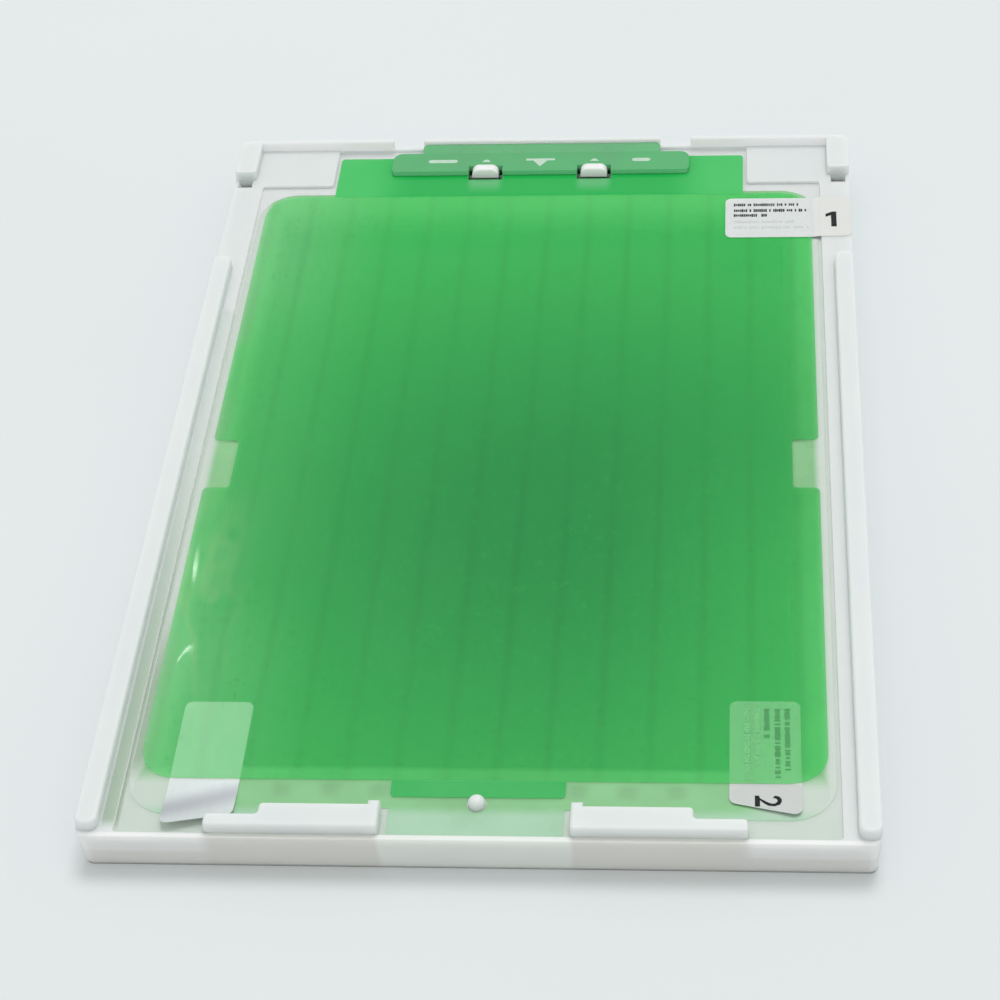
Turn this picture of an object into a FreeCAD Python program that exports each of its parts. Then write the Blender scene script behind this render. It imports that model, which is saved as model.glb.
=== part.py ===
"""Paper-feel screen protector for a tablet, hooked into its alignment tray.

The frame is the tray's own: X across, Y from the near end (pin) to the far end (lugs), Z up from the table.
The origin is the middle of the tray's footprint. All sizes are in millimetres.
"""
import FreeCAD
import Part
import Sketcher
import math
import os
import re

SIZES = {
    # The protector and the films on it
    "film_width": 175.0,
    "film_length": 244.0,
    "film_corner": 10.0,
    "protector_thickness": 0.2,
    "release_thickness": 0.15,
    "carrier_thickness": 0.2,
    "carrier_overhang": 1.8,
    "carrier_near_overhang": 8.8,
    "carrier_corner_overhang": 11.3,
    "notch_length": 20.0,
    "notch_depth": 7.5,
    "notch_corner": 1.5,
    "notch_from_near": 117.0,
    "hook_tab_width": 132.0,
    "hook_tab_length": 20.7,
    "pin_tab_gap": 1.8,
    "pin_tab_setback": 1.8,
    "tab_corner": 1.2,
    "film_clearance": 0.3,
    # The tray's shell
    "deck_height": 12.0,
    "bed_depth": 1.0,
    "plate_thickness": 1.6,
    "wall_thickness": 1.8,
    "wall_draft": 3.8,
    "tray_corner": 3.0,
    "side_margin": 12.5,
    "rim_width": 1.5,
    "far_wall_thickness": 1.5,
    "tab_end_gap": 4.6,
    "bed_side_gap": 1.2,
    "bed_far_gap": 5.8,
    "bed_corner": 1.0,
    # What stands up from the deck
    "raised_height": 3.2,
    "raised_edge": 0.8,
    "far_wall_edge": 0.4,
    "bar_width": 5.8,
    "bar_setback": 1.6,
    "bar_far_gap": 34.2,
    "bar_end_flat": 0.8,
    "block_gap": 47.6,
    "block_length": 43.6,
    "block_low_length": 13.4,
    "block_depth": 7.5,
    "block_low_depth": 4.0,
    "block_tip_length": 3.0,
    "block_tip_depth": 1.2,
    "block_corner": 1.1,
    "far_wall_centre": 78.0,
    "far_wall_break": 10.0,
    "corner_block_width": 7.0,
    "corner_block_length": 17.5,
    "pit_length": 4.0,
    "pit_depth": 2.4,
    "pit_wall": 1.2,
    # What holds the films
    "lug_width": 8.6,
    "lug_thickness": 3.0,
    "lug_height": 3.6,
    "lug_corner": 2.4,
    "lug_pitch": 35.4,
    "lug_from_film": 10.0,
    "lug_clearance": 1.2,
    "pin_diameter": 4.4,
    "pin_height": 2.6,
    "pin_crown": 0.6,
    "pin_from_film": 7.2,
    "pin_clearance": 0.4,
    # The window and the tablet's pocket under it
    "window_side_inset": 6.5,
    "window_near_inset": 3.9,
    "window_far_inset": 8.0,
    "window_corner": 6.0,
    "tablet_border": 2.6,
    "tablet_clearance": 0.4,
    "tablet_corner": 12.0,
    "pocket_wall": 1.5,
    "pocket_foot": 2.0,
    "clip_window_width": 5.5,
    "clip_window_length": 4.5,
    "clip_window_first": 25.0,
    "clip_window_pitch": 12.4,
    # The hook strip on the far tab
    "strip_thickness": 1.6,
    "strip_setback": 1.3,
    "strip_width": 97.0,
    "strip_depth": 9.9,
    "strip_corner": 1.5,
    "strip_far_corner": 3.2,
    "lip_rise": 0.8,
    # The pull labels
    "label_thickness": 0.12,
    "label_corner": 2.0,
    "label_1_width": 20.1,
    "label_1_flat": 27.0,
    "label_1_from_far": 2.95,
    "label_2_width": 18.0,
    "label_2_flat": 27.5,
    "label_2_tab": 10.4,
    "label_2_slant": 4.3,
    "label_2_curl": 60.0,
    "label_2_from_side": 6.8,
    "blank_label_width": 18.0,
    "blank_label_flat": 26.0,
    "blank_label_front_gap": 1.5,
    "blank_label_slant": 4.2,
    "blank_label_curl": 60.0,
    "blank_label_from_side": 8.6,
}

CLIP_WINDOWS_A_SIDE = 3
TOLERANCE = 1e-4

# Places across the tray, as expressions of the sizes
FILM_SIDE = "(film_width / 2)"
CARRIER_SIDE = f"({FILM_SIDE} + carrier_overhang)"
BED_SIDE = f"({CARRIER_SIDE} + bed_side_gap)"
TRAY_SIDE = f"({FILM_SIDE} + side_margin)"
HOOK_TAB_SIDE = "(hook_tab_width / 2)"
CHANNEL_SIDE = f"({HOOK_TAB_SIDE} + bed_side_gap)"
BLOCK_INNER = "(block_gap / 2)"
BLOCK_OUTER = f"({BLOCK_INNER} + block_length)"
BLOCK_STEP = f"({BLOCK_OUTER} - block_low_length)"
PIN_TAB_SIDE = f"({BLOCK_INNER} - pin_tab_gap)"
LUG_MIDDLE = "(lug_pitch / 2)"
LUG_INNER = f"({LUG_MIDDLE} - lug_width / 2)"
LUG_OUTER = f"({LUG_MIDDLE} + lug_width / 2)"
SLOT_INNER = f"({LUG_INNER} - lug_clearance)"
SLOT_OUTER = f"({LUG_OUTER} + lug_clearance)"
POCKET_SIDE = f"({FILM_SIDE} + tablet_border + tablet_clearance)"
CORNER_BLOCK_SIDE = f"({TRAY_SIDE} - corner_block_width)"

# Places along the tray, counted from its middle
TRAY_LENGTH = (
    "(rim_width + block_depth + block_tip_depth + film_clearance + carrier_near_overhang"
    " + film_length + hook_tab_length + tab_end_gap + far_wall_thickness)"
)
TRAY_FAR = f"({TRAY_LENGTH} / 2)"
TRAY_NEAR = f"(0 - {TRAY_FAR})"
BLOCK_FRONT = f"({TRAY_NEAR} + rim_width)"
BLOCK_BACK = f"({BLOCK_FRONT} + block_depth)"
BLOCK_LOW_BACK = f"({BLOCK_FRONT} + block_low_depth)"
CARRIER_NEAR = f"({BLOCK_BACK} + block_tip_depth + film_clearance)"
FILM_NEAR = f"({CARRIER_NEAR} + carrier_near_overhang)"
FILM_FAR = f"({FILM_NEAR} + film_length)"
CARRIER_CORNER_NEAR = f"({FILM_NEAR} - carrier_corner_overhang)"
CARRIER_FAR = f"({FILM_FAR} + carrier_overhang)"
BED_FAR = f"({FILM_FAR} + bed_far_gap)"
HOOK_TAB_END = f"({FILM_FAR} + hook_tab_length)"
FAR_WALL_FACE = f"({TRAY_FAR} - far_wall_thickness)"
PIN_MIDDLE = f"({FILM_NEAR} - pin_from_film)"
LUG_NEAR = f"({FILM_FAR} + lug_from_film)"
LUG_FAR = f"({LUG_NEAR} + lug_thickness)"
SLOT_NEAR = f"({LUG_NEAR} - lug_clearance)"
SLOT_FAR = f"({LUG_FAR} + lug_clearance)"
STRIP_NEAR = f"({LUG_NEAR} + strip_setback)"
STRIP_BEND = f"({STRIP_NEAR} + strip_depth)"
STRIP_END = f"({FAR_WALL_FACE} - film_clearance)"
POCKET_NEAR = f"({FILM_NEAR} - tablet_border - tablet_clearance)"
POCKET_FAR = f"({FILM_FAR} + tablet_border + tablet_clearance)"
CORNER_BLOCK_FRONT = f"({TRAY_FAR} - corner_block_length)"

# Heights above the table
BED = "(deck_height - bed_depth)"
PLATE_UNDERSIDE = f"({BED} - plate_thickness)"
CARRIER_TOP = f"({BED} + carrier_thickness)"
PROTECTOR_FLOOR = f"({CARRIER_TOP} + label_thickness)"
RELEASE_FLOOR = f"({PROTECTOR_FLOOR} + protector_thickness)"
RELEASE_TOP = f"({RELEASE_FLOOR} + release_thickness)"
RAISED_TOP = "(deck_height + raised_height)"
DIE_HEIGHT = "(bed_depth + raised_height + strip_thickness)"

doc = FreeCAD.newDocument("screen_protector")
sheet = doc.addObject("Spreadsheet::Sheet", "sizes")


def fill_sheet():
    for row, (name, size) in enumerate(SIZES.items(), 1):
        sheet.set(f"A{row}", name)
        sheet.set(f"B{row}", str(size))
        sheet.setAlias(f"B{row}", name)
    doc.recompute()


def cells(text):
    """The expression with each size's name written as its cell in the sheet."""
    return re.sub(r"\b([a-z]\w+)\b", r"sizes.\1", text)


def value(text):
    """What an expression of the sizes comes to now."""
    return float(sheet.evalExpression(cells(text)))


def new_body(name):
    body = doc.addObject("PartDesign::Body", name)
    body.Label = name
    return body


def new_sketch(body, name, plane, level):
    """A sketch on one of the body's origin planes, set off from it by the level."""
    sketch = body.newObject("Sketcher::SketchObject", name)
    support = next(feature for feature in body.Origin.OriginFeatures if feature.Role == plane)
    sketch.AttachmentSupport = [(support, "")]
    sketch.MapMode = "FlatFace"
    sketch.setExpression("AttachmentOffset.Base.z", cells(level))
    return sketch


def drive(sketch, kind, places, text):
    """Adds a dimension to the sketch and binds it to an expression of the sizes."""
    index = sketch.addConstraint(Sketcher.Constraint(kind, *places, value(text)))
    sketch.setExpression(f"Constraints[{index}]", cells(text))


def add_outline(sketch, corners):
    """Draws a closed outline of level and upright lines; a corner is x, y and a radius or None."""
    points = [FreeCAD.Vector(value(x), value(y), 0) for x, y, radius in corners]
    radii = [value(radius) if radius else 0.0 for x, y, radius in corners]
    count = len(corners)
    runs = [(points[(i + 1) % count] - points[i]).normalize() for i in range(count)]
    lines = []
    for i in range(count):
        start = points[i] + runs[i] * radii[i]
        end = points[(i + 1) % count] - runs[i] * radii[(i + 1) % count]
        lines.append(sketch.addGeometry(Part.LineSegment(start, end), False))
        level = corners[i][1] == corners[(i + 1) % count][1]
        sketch.addConstraint(Sketcher.Constraint("Horizontal" if level else "Vertical", lines[i]))
        if level:
            drive(sketch, "DistanceY", (-1, 1, lines[i], 1), corners[i][1])
        else:
            drive(sketch, "DistanceX", (-1, 1, lines[i], 1), corners[i][0])
    for i, (x, y, radius) in enumerate(corners):
        before = lines[i - 1]
        after = lines[i]
        if not radius:
            sketch.addConstraint(Sketcher.Constraint("Coincident", before, 2, after, 1))
            continue
        left_turn = runs[i - 1].cross(runs[i]).z > 0
        middle = points[i] + (runs[i] - runs[i - 1]) * radii[i]
        first = -runs[i] if left_turn else runs[i - 1]
        start = math.atan2(first.y, first.x)
        circle = Part.Circle(middle, FreeCAD.Vector(0, 0, 1), radii[i])
        arc = sketch.addGeometry(Part.ArcOfCircle(circle, start, start + math.pi / 2), False)
        enter, leave = (1, 2) if left_turn else (2, 1)
        sketch.addConstraint(Sketcher.Constraint("Tangent", before, 2, arc, enter))
        sketch.addConstraint(Sketcher.Constraint("Tangent", arc, leave, after, 1))
        drive(sketch, "Radius", (arc,), radius)


def add_polygon(sketch, corners):
    """Draws a closed outline of straight lines through the corners, each driven by its own x and y."""
    points = [FreeCAD.Vector(value(x), value(y), 0) for x, y in corners]
    ring = points[1:] + points[:1]
    lines = [sketch.addGeometry(Part.LineSegment(*ends), False) for ends in zip(points, ring)]
    for i, (x, y) in enumerate(corners):
        sketch.addConstraint(Sketcher.Constraint("Coincident", lines[i - 1], 2, lines[i], 1))
        drive(sketch, "DistanceX", (-1, 1, lines[i], 1), x)
        drive(sketch, "DistanceY", (-1, 1, lines[i], 1), y)


def rectangle(left, right, near, far, radius=None):
    return [(left, near, radius), (right, near, radius), (right, far, radius), (left, far, radius)]


def centred(side, near, far, radius=None):
    """A rectangle that reaches as far to the left of the middle line as to the right."""
    return rectangle(f"(0 - {side})", side, near, far, radius)


def mirrored(corners):
    """The same outline on the other side of the tray."""
    return [(f"(0 - {x})", y, radius) for x, y, radius in reversed(corners)]


def add_circle(sketch, y, diameter):
    """Draws a circle on the tray's middle line."""
    circle = Part.Circle(FreeCAD.Vector(0, value(y), 0), FreeCAD.Vector(0, 0, 1), value(diameter) / 2)
    index = sketch.addGeometry(circle, False)
    sketch.addConstraint(Sketcher.Constraint("PointOnObject", index, 3, -2))
    drive(sketch, "DistanceY", (-1, 1, index, 3), y)
    drive(sketch, "Diameter", (index,), diameter)


def pad(body, sketch, name, length, down=False, draft=None):
    feature = body.newObject("PartDesign::Pad", name)
    feature.Profile = sketch
    feature.Reversed = down
    feature.setExpression("Length", cells(length))
    if draft:
        feature.setExpression("TaperAngle", cells(draft))
    doc.recompute()
    return feature


def pocket(body, sketch, name, length, draft=None):
    """Cuts the sketch out of the body and makes sure that it took material away."""
    before = body.Shape.Volume
    feature = body.newObject("PartDesign::Pocket", name)
    feature.Profile = sketch
    feature.setExpression("Length", cells(length))
    if draft:
        feature.setExpression("TaperAngle", cells(draft))
    doc.recompute()
    if body.Shape.Volume >= before:
        raise RuntimeError(f"{name} cuts nothing")
    return feature


def round_edges(body, name, radius, wanted):
    """Rounds each edge of the body that the wanted test picks."""
    base = body.Tip
    names = [f"Edge{i}" for i, edge in enumerate(base.Shape.Edges, 1) if wanted(edge)]
    feature = body.newObject("PartDesign::Fillet", name)
    feature.Base = (base, names)
    feature.setExpression("Radius", cells(radius))
    doc.recompute()


def lies_at(edge, height):
    """Whether the whole edge lies at one height."""
    box = edge.BoundBox
    return abs(box.ZMin - height) < TOLERANCE and abs(box.ZMax - height) < TOLERANCE


def build_shell(tray):
    """The drafted outer wall and deck, hollow from below, with the bed that the films lie in."""
    sketch = new_sketch(tray, "tray_outline", "XY_Plane", "deck_height")
    add_outline(sketch, centred(TRAY_SIDE, TRAY_NEAR, TRAY_FAR, "tray_corner"))
    pad(tray, sketch, "tray_block", "deck_height", down=True, draft="0 - wall_draft")

    sketch = new_sketch(tray, "bed_outline", "XY_Plane", "deck_height")
    bed = [
        (BED_SIDE, BLOCK_FRONT, "bed_corner"),
        (BED_SIDE, BED_FAR, "bed_corner"),
        (CHANNEL_SIDE, BED_FAR, "bed_corner"),
        (CHANNEL_SIDE, FAR_WALL_FACE, "bed_corner"),
    ]
    add_outline(sketch, bed + mirrored(bed))
    pocket(tray, sketch, "film_bed", "bed_depth")

    sketch = new_sketch(tray, "hollow_outline", "XY_Plane", PLATE_UNDERSIDE)
    inner_side = f"({TRAY_SIDE} - wall_thickness)"
    inner_far = f"({TRAY_FAR} - wall_thickness)"
    add_outline(sketch, centred(inner_side, f"(0 - {inner_far})", inner_far, "tray_corner"))
    pocket(tray, sketch, "hollow", PLATE_UNDERSIDE, draft="0 - wall_draft")


def build_pocket(tray):
    """The wall under the plate that the tablet fits into, the screen's window and the clips' windows."""
    sketch = new_sketch(tray, "pocket_outline", "XY_Plane", PLATE_UNDERSIDE)
    outer_side = f"({POCKET_SIDE} + pocket_wall)"
    outer_near = f"({POCKET_NEAR} - pocket_wall)"
    outer_far = f"({POCKET_FAR} + pocket_wall)"
    outer_corner = "(tablet_corner + pocket_wall)"
    add_outline(sketch, centred(POCKET_SIDE, POCKET_NEAR, POCKET_FAR, "tablet_corner"))
    add_outline(sketch, centred(outer_side, outer_near, outer_far, outer_corner))
    depth = f"({PLATE_UNDERSIDE} - pocket_foot)"
    pad(tray, sketch, "tablet_wall", depth, down=True)

    sketch = new_sketch(tray, "window_outline", "XY_Plane", BED)
    side = f"({FILM_SIDE} - window_side_inset)"
    near = f"({FILM_NEAR} + window_near_inset)"
    far = f"({FILM_FAR} - window_far_inset)"
    add_outline(sketch, centred(side, near, far, "window_corner"))
    pocket(tray, sketch, "window", "plate_thickness")

    sketch = new_sketch(tray, "clip_window_outlines", "XY_Plane", BED)
    near = f"({POCKET_NEAR} - clip_window_length / 2)"
    far = f"({POCKET_NEAR} + clip_window_length / 2)"
    for i in range(CLIP_WINDOWS_A_SIDE):
        middle = f"(clip_window_first + {i} * clip_window_pitch)"
        left = f"({middle} - clip_window_width / 2)"
        right = f"({middle} + clip_window_width / 2)"
        window = rectangle(left, right, near, far)
        add_outline(sketch, window)
        add_outline(sketch, mirrored(window))
    pocket(tray, sketch, "clip_windows", f"plate_thickness + {depth}")


def build_far_end(tray):
    """The broken wall across the far end, with a block and a pit at each corner."""
    sketch = new_sketch(tray, "far_wall_outline", "XY_Plane", "deck_height")
    centre = "(far_wall_centre / 2)"
    wing = f"({centre} + far_wall_break)"
    add_outline(sketch, centred(centre, FAR_WALL_FACE, TRAY_FAR))
    corner = [
        (wing, FAR_WALL_FACE, None),
        (CORNER_BLOCK_SIDE, FAR_WALL_FACE, None),
        (CORNER_BLOCK_SIDE, CORNER_BLOCK_FRONT, "block_corner"),
        (TRAY_SIDE, CORNER_BLOCK_FRONT, "block_corner"),
        (TRAY_SIDE, TRAY_FAR, "tray_corner"),
        (wing, TRAY_FAR, None),
    ]
    add_outline(sketch, corner)
    add_outline(sketch, mirrored(corner))
    pad(tray, sketch, "far_wall", "raised_height")

    sketch = new_sketch(tray, "pit_outlines", "XY_Plane", "deck_height")
    pit = rectangle(
        f"({CORNER_BLOCK_SIDE} + pit_wall)",
        f"({TRAY_SIDE} - pit_wall)",
        f"({CORNER_BLOCK_FRONT} - pit_length)",
        CORNER_BLOCK_FRONT,
    )
    add_outline(sketch, pit)
    add_outline(sketch, mirrored(pit))
    pocket(tray, sketch, "corner_pits", "pit_depth")

    top = value(RAISED_TOP)
    round_edges(tray, "far_wall_edges", "far_wall_edge", lambda edge: lies_at(edge, top))


def build_rails(tray):
    """The raised bar along each side and the stepped block on each side of the pin."""
    sketch = new_sketch(tray, "bar_outlines", "XY_Plane", "deck_height")
    bar = rectangle(
        f"({TRAY_SIDE} - bar_width)",
        TRAY_SIDE,
        f"({TRAY_NEAR} + bar_setback)",
        f"({FILM_FAR} - bar_far_gap)",
        "(bar_width / 2 - bar_end_flat / 2)",
    )
    add_outline(sketch, bar)
    add_outline(sketch, mirrored(bar))
    pad(tray, sketch, "side_bars", "raised_height")

    sketch = new_sketch(tray, "block_outlines", "XY_Plane", BED)
    tip = f"({BLOCK_INNER} + block_tip_length)"
    tip_back = f"({BLOCK_BACK} + block_tip_depth)"
    block = [
        (BLOCK_INNER, BLOCK_FRONT, "block_corner"),
        (BLOCK_OUTER, BLOCK_FRONT, "block_corner"),
        (BLOCK_OUTER, BLOCK_LOW_BACK, "block_corner"),
        (BLOCK_STEP, BLOCK_LOW_BACK, "block_corner"),
        (BLOCK_STEP, BLOCK_BACK, "block_corner"),
        (tip, BLOCK_BACK, None),
        (tip, tip_back, None),
        (BLOCK_INNER, tip_back, None),
    ]
    add_outline(sketch, block)
    add_outline(sketch, mirrored(block))
    pad(tray, sketch, "near_blocks", "bed_depth + raised_height")

    top = value(RAISED_TOP)
    reach = value(FILM_FAR)
    round_edges(
        tray, "raised_edges", "raised_edge",
        lambda edge: lies_at(edge, top) and edge.BoundBox.YMax < reach,
    )


def build_hooks(tray):
    """The lugs and the domed pin that the films hang on, with slits through the plate beside each lug."""
    sketch = new_sketch(tray, "lug_profile", "XZ_Plane", f"(0 - {LUG_NEAR})")
    lug_top = f"({BED} + lug_height)"
    lug = [
        (LUG_INNER, BED, None),
        (LUG_OUTER, BED, None),
        (LUG_OUTER, lug_top, "lug_corner"),
        (LUG_INNER, lug_top, "lug_corner"),
    ]
    add_outline(sketch, lug)
    add_outline(sketch, mirrored(lug))
    pad(tray, sketch, "lugs", "lug_thickness", down=True)

    sketch = new_sketch(tray, "slit_outlines", "XY_Plane", BED)
    for left, right in ((SLOT_INNER, LUG_INNER), (LUG_OUTER, SLOT_OUTER)):
        slit = rectangle(left, right, SLOT_NEAR, SLOT_FAR)
        add_outline(sketch, slit)
        add_outline(sketch, mirrored(slit))
    pocket(tray, sketch, "lug_slits", "plate_thickness")

    sketch = new_sketch(tray, "pin_outline", "XY_Plane", BED)
    add_circle(sketch, PIN_MIDDLE, "pin_diameter")
    pad(tray, sketch, "pin", "pin_height")
    top = value(f"{BED} + pin_height")
    reach = value("pin_diameter")
    middle = FreeCAD.Vector(0, value(PIN_MIDDLE), top)
    round_edges(
        tray, "pin_dome", "(pin_diameter - pin_crown) / 2",
        lambda edge: lies_at(edge, top) and edge.CenterOfMass.distanceToPoint(middle) < reach,
    )


def build_tray():
    tray = new_body("alignment_tray")
    build_shell(tray)
    build_pocket(tray)
    build_far_end(tray)
    build_rails(tray)
    build_hooks(tray)
    return tray


def notched_side():
    """The protector's right-hand edge from its near corner to its far one, with the notch half way."""
    inner = f"({FILM_SIDE} - notch_depth)"
    near = f"({FILM_NEAR} + notch_from_near - notch_length / 2)"
    far = f"({FILM_NEAR} + notch_from_near + notch_length / 2)"
    return [
        (FILM_SIDE, FILM_NEAR, "film_corner"),
        (FILM_SIDE, near, "notch_corner"),
        (inner, near, "notch_corner"),
        (inner, far, "notch_corner"),
        (FILM_SIDE, far, "notch_corner"),
        (FILM_SIDE, FILM_FAR, "film_corner"),
    ]


def cut_pin_hole(film, length):
    sketch = new_sketch(film, f"{film.Name}_pin_hole", "XY_Plane", f"{BED} + pin_height")
    add_circle(sketch, PIN_MIDDLE, "pin_diameter + 2 * pin_clearance")
    pocket(film, sketch, f"{film.Name}_pin_cut", length)


def build_carrier():
    """The pale film under the rest: wider than they are, stepped past the blocks, tabbed for the pin."""
    film = new_body("carrier_film")
    sketch = new_sketch(film, "carrier_outline", "XY_Plane", BED)
    tab_end = f"({BLOCK_FRONT} + film_clearance)"
    corner = "(film_corner + carrier_overhang)"
    past_block = f"({BLOCK_STEP} + film_clearance)"
    edge = [
        (PIN_TAB_SIDE, tab_end, "tab_corner"),
        (PIN_TAB_SIDE, CARRIER_NEAR, None),
        (past_block, CARRIER_NEAR, None),
        (past_block, CARRIER_CORNER_NEAR, None),
        (CARRIER_SIDE, CARRIER_CORNER_NEAR, corner),
        (CARRIER_SIDE, CARRIER_FAR, corner),
    ]
    add_outline(sketch, edge + mirrored(edge))
    pad(film, sketch, "carrier_sheet", "carrier_thickness")
    cut_pin_hole(film, "pin_height")
    return film


def build_protector():
    """The clear matte sheet itself."""
    film = new_body("paper_feel_protector")
    sketch = new_sketch(film, "protector_outline", "XY_Plane", PROTECTOR_FLOOR)
    edge = notched_side()
    add_outline(sketch, edge + mirrored(edge))
    pad(film, sketch, "protector_sheet", "protector_thickness")
    return film


def build_release_film():
    """The green film on top, with the far tab that the lugs go through and a short near tab at the pin."""
    film = new_body("release_film")
    sketch = new_sketch(film, "release_outline", "XY_Plane", RELEASE_FLOOR)
    tab_end = f"({PIN_MIDDLE} + pin_tab_setback)"
    edge = [
        (PIN_TAB_SIDE, tab_end, "tab_corner"),
        (PIN_TAB_SIDE, FILM_NEAR, None),
        *notched_side(),
        (HOOK_TAB_SIDE, FILM_FAR, None),
        (HOOK_TAB_SIDE, HOOK_TAB_END, "tab_corner"),
    ]
    add_outline(sketch, edge + mirrored(edge))
    pad(film, sketch, "release_sheet", "release_thickness")
    cut_pin_hole(film, "pin_height")

    sketch = new_sketch(film, "release_slots", "XY_Plane", RELEASE_TOP)
    slot = rectangle(SLOT_INNER, SLOT_OUTER, SLOT_NEAR, SLOT_FAR)
    add_outline(sketch, slot)
    add_outline(sketch, mirrored(slot))
    pocket(film, sketch, "release_slot_cut", "release_thickness")
    return film


def sheet_profile(under, thickness):
    """The outline of a sheet seen from its edge, from the line of its underside."""
    return under + [(along, f"({z} + {thickness})") for along, z in reversed(under)]


def trimmed(name, blank, die):
    """The piece that a die of the given outline cuts out of a blank."""
    piece = doc.addObject("Part::Common", name)
    piece.Base = blank
    piece.Tool = die
    piece.Label = name
    doc.recompute()
    return piece


def build_hook_strip():
    """The stiff strip on the far tab, notched for the lugs, with a narrower lip that leans on the wall."""
    blank = new_body("strip_blank")
    sketch = new_sketch(blank, "strip_profile", "YZ_Plane", "0 - strip_width / 2")
    lip_floor = f"({RELEASE_TOP} + lip_rise)"
    under = [(STRIP_NEAR, RELEASE_TOP), (STRIP_BEND, RELEASE_TOP), (STRIP_END, lip_floor)]
    add_polygon(sketch, sheet_profile(under, "strip_thickness"))
    pad(blank, sketch, "strip_sheet", "strip_width")

    die = new_body("strip_die")
    sketch = new_sketch(die, "strip_outline", "XY_Plane", BED)
    side = "(strip_width / 2)"
    lip = "(far_wall_centre / 2)"
    edge = [
        (SLOT_INNER, STRIP_NEAR, None),
        (SLOT_INNER, SLOT_FAR, None),
        (SLOT_OUTER, SLOT_FAR, None),
        (SLOT_OUTER, STRIP_NEAR, None),
        (side, STRIP_NEAR, "strip_corner"),
        (side, STRIP_BEND, "strip_far_corner"),
        (lip, STRIP_BEND, None),
        (lip, STRIP_END, "strip_corner"),
    ]
    add_outline(sketch, edge + mirrored(edge))
    pad(die, sketch, "strip_die_block", DIE_HEIGHT)
    return trimmed("hook_strip", blank, die)


def add_curled_profile(sketch, flat_end, bend, tab_end, floor, curl):
    """Draws a label from its edge: flat from flat_end to bend, then curling up on a radius to tab_end."""
    outer = value(curl)
    inner = outer - value("label_thickness")
    run = value(tab_end) - value(bend)
    sweep = math.asin(abs(run) / outer)
    down = -math.pi / 2
    span = (down, down + sweep) if run > 0 else (down - sweep, down)
    at_bend, at_tip = (1, 2) if run > 0 else (2, 1)
    middle = FreeCAD.Vector(value(bend), value(floor) + outer, 0)
    ray = FreeCAD.Vector(math.copysign(math.sin(sweep), run), -math.cos(sweep), 0)
    low = value(floor)
    high = low + value("label_thickness")

    def line(start, finish):
        return sketch.addGeometry(Part.LineSegment(FreeCAD.Vector(*start), FreeCAD.Vector(*finish)), False)

    def arc(radius):
        circle = Part.Circle(middle, FreeCAD.Vector(0, 0, 1), radius)
        return sketch.addGeometry(Part.ArcOfCircle(circle, *span), False)

    under = line((value(flat_end), low), (value(bend), low))
    under_curl = arc(outer)
    tip = line(middle + ray * outer, middle + ray * inner)
    over_curl = arc(inner)
    over = line((value(bend), high), (value(flat_end), high))
    back = line((value(flat_end), high), (value(flat_end), low))

    ties = [
        ("Horizontal", under), ("Horizontal", over), ("Vertical", back),
        ("Tangent", under, 2, under_curl, at_bend), ("Tangent", over_curl, at_bend, over, 1),
        ("Coincident", under_curl, at_tip, tip, 1), ("Coincident", tip, 2, over_curl, at_tip),
        ("Coincident", over, 2, back, 1), ("Coincident", back, 2, under, 1),
        ("Coincident", under_curl, 3, over_curl, 3), ("PointOnObject", under_curl, 3, tip),
    ]
    for tie in ties:
        sketch.addConstraint(Sketcher.Constraint(*tie))
    drive(sketch, "DistanceX", (-1, 1, under, 1), flat_end)
    drive(sketch, "DistanceX", (-1, 1, under, 2), bend)
    drive(sketch, "DistanceX", (-1, 1, tip, 1), tab_end)
    drive(sketch, "DistanceY", (-1, 1, under, 1), floor)
    drive(sketch, "DistanceY", (under, 1, over, 2), "label_thickness")
    drive(sketch, "Radius", (under_curl,), curl)


def stands(edge):
    """Whether the edge stands upright."""
    box = edge.BoundBox
    return box.XLength < TOLERANCE and box.YLength < TOLERANCE


def cut_label(name, blank, corners):
    """The label that a die with four rounded corners cuts out of a blank."""
    die = new_body(f"{name}_die")
    sketch = new_sketch(die, f"{name}_outline", "XY_Plane", BED)
    add_polygon(sketch, corners)
    pad(die, sketch, f"{name}_die_block", DIE_HEIGHT)
    round_edges(die, f"{name}_die_corners", "label_corner", stands)
    return trimmed(name, blank, die)


def build_label_1():
    """The label on the green film's far right corner; its tab lies over the deck to the tray's edge."""
    far = f"({FILM_FAR} - label_1_from_far)"
    near = f"({far} - label_1_width)"
    start = f"({FILM_SIDE} - label_1_flat)"
    blank = new_body("pull_label_1_blank")
    sketch = new_sketch(blank, "pull_label_1_profile", "XZ_Plane", f"(0 - {far})")
    under = [
        (start, RELEASE_TOP),
        (FILM_SIDE, RELEASE_TOP),
        (BED_SIDE, "deck_height"),
        (TRAY_SIDE, "deck_height"),
    ]
    add_polygon(sketch, sheet_profile(under, "label_thickness"))
    pad(blank, sketch, "pull_label_1_sheet", "label_1_width")
    corners = [(start, near), (TRAY_SIDE, near), (TRAY_SIDE, far), (start, far)]
    return cut_label("pull_label_1", blank, corners)


def build_near_label(name, left, width, flat, left_end, right_end, tab_end, curl):
    """A label between the carrier and the protector; its slanted tab curls up past the near edge."""
    start = f"({FILM_NEAR} + {flat})"
    right = f"({left} + {width})"
    blank = new_body(f"{name}_blank")
    sketch = new_sketch(blank, f"{name}_profile", "YZ_Plane", left)
    add_curled_profile(sketch, start, FILM_NEAR, tab_end, CARRIER_TOP, curl)
    pad(blank, sketch, f"{name}_sheet", width)
    corners = [(left, left_end), (right, right_end), (right, start), (left, start)]
    return cut_label(name, blank, corners)


def build_label_2():
    left = f"({FILM_SIDE} - label_2_from_side - label_2_width)"
    tab_end = f"({FILM_NEAR} - label_2_tab)"
    short_end = f"({tab_end} + label_2_slant)"
    return build_near_label(
        "pull_label_2", left, "label_2_width", "label_2_flat", short_end, tab_end, tab_end, "label_2_curl")


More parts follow.
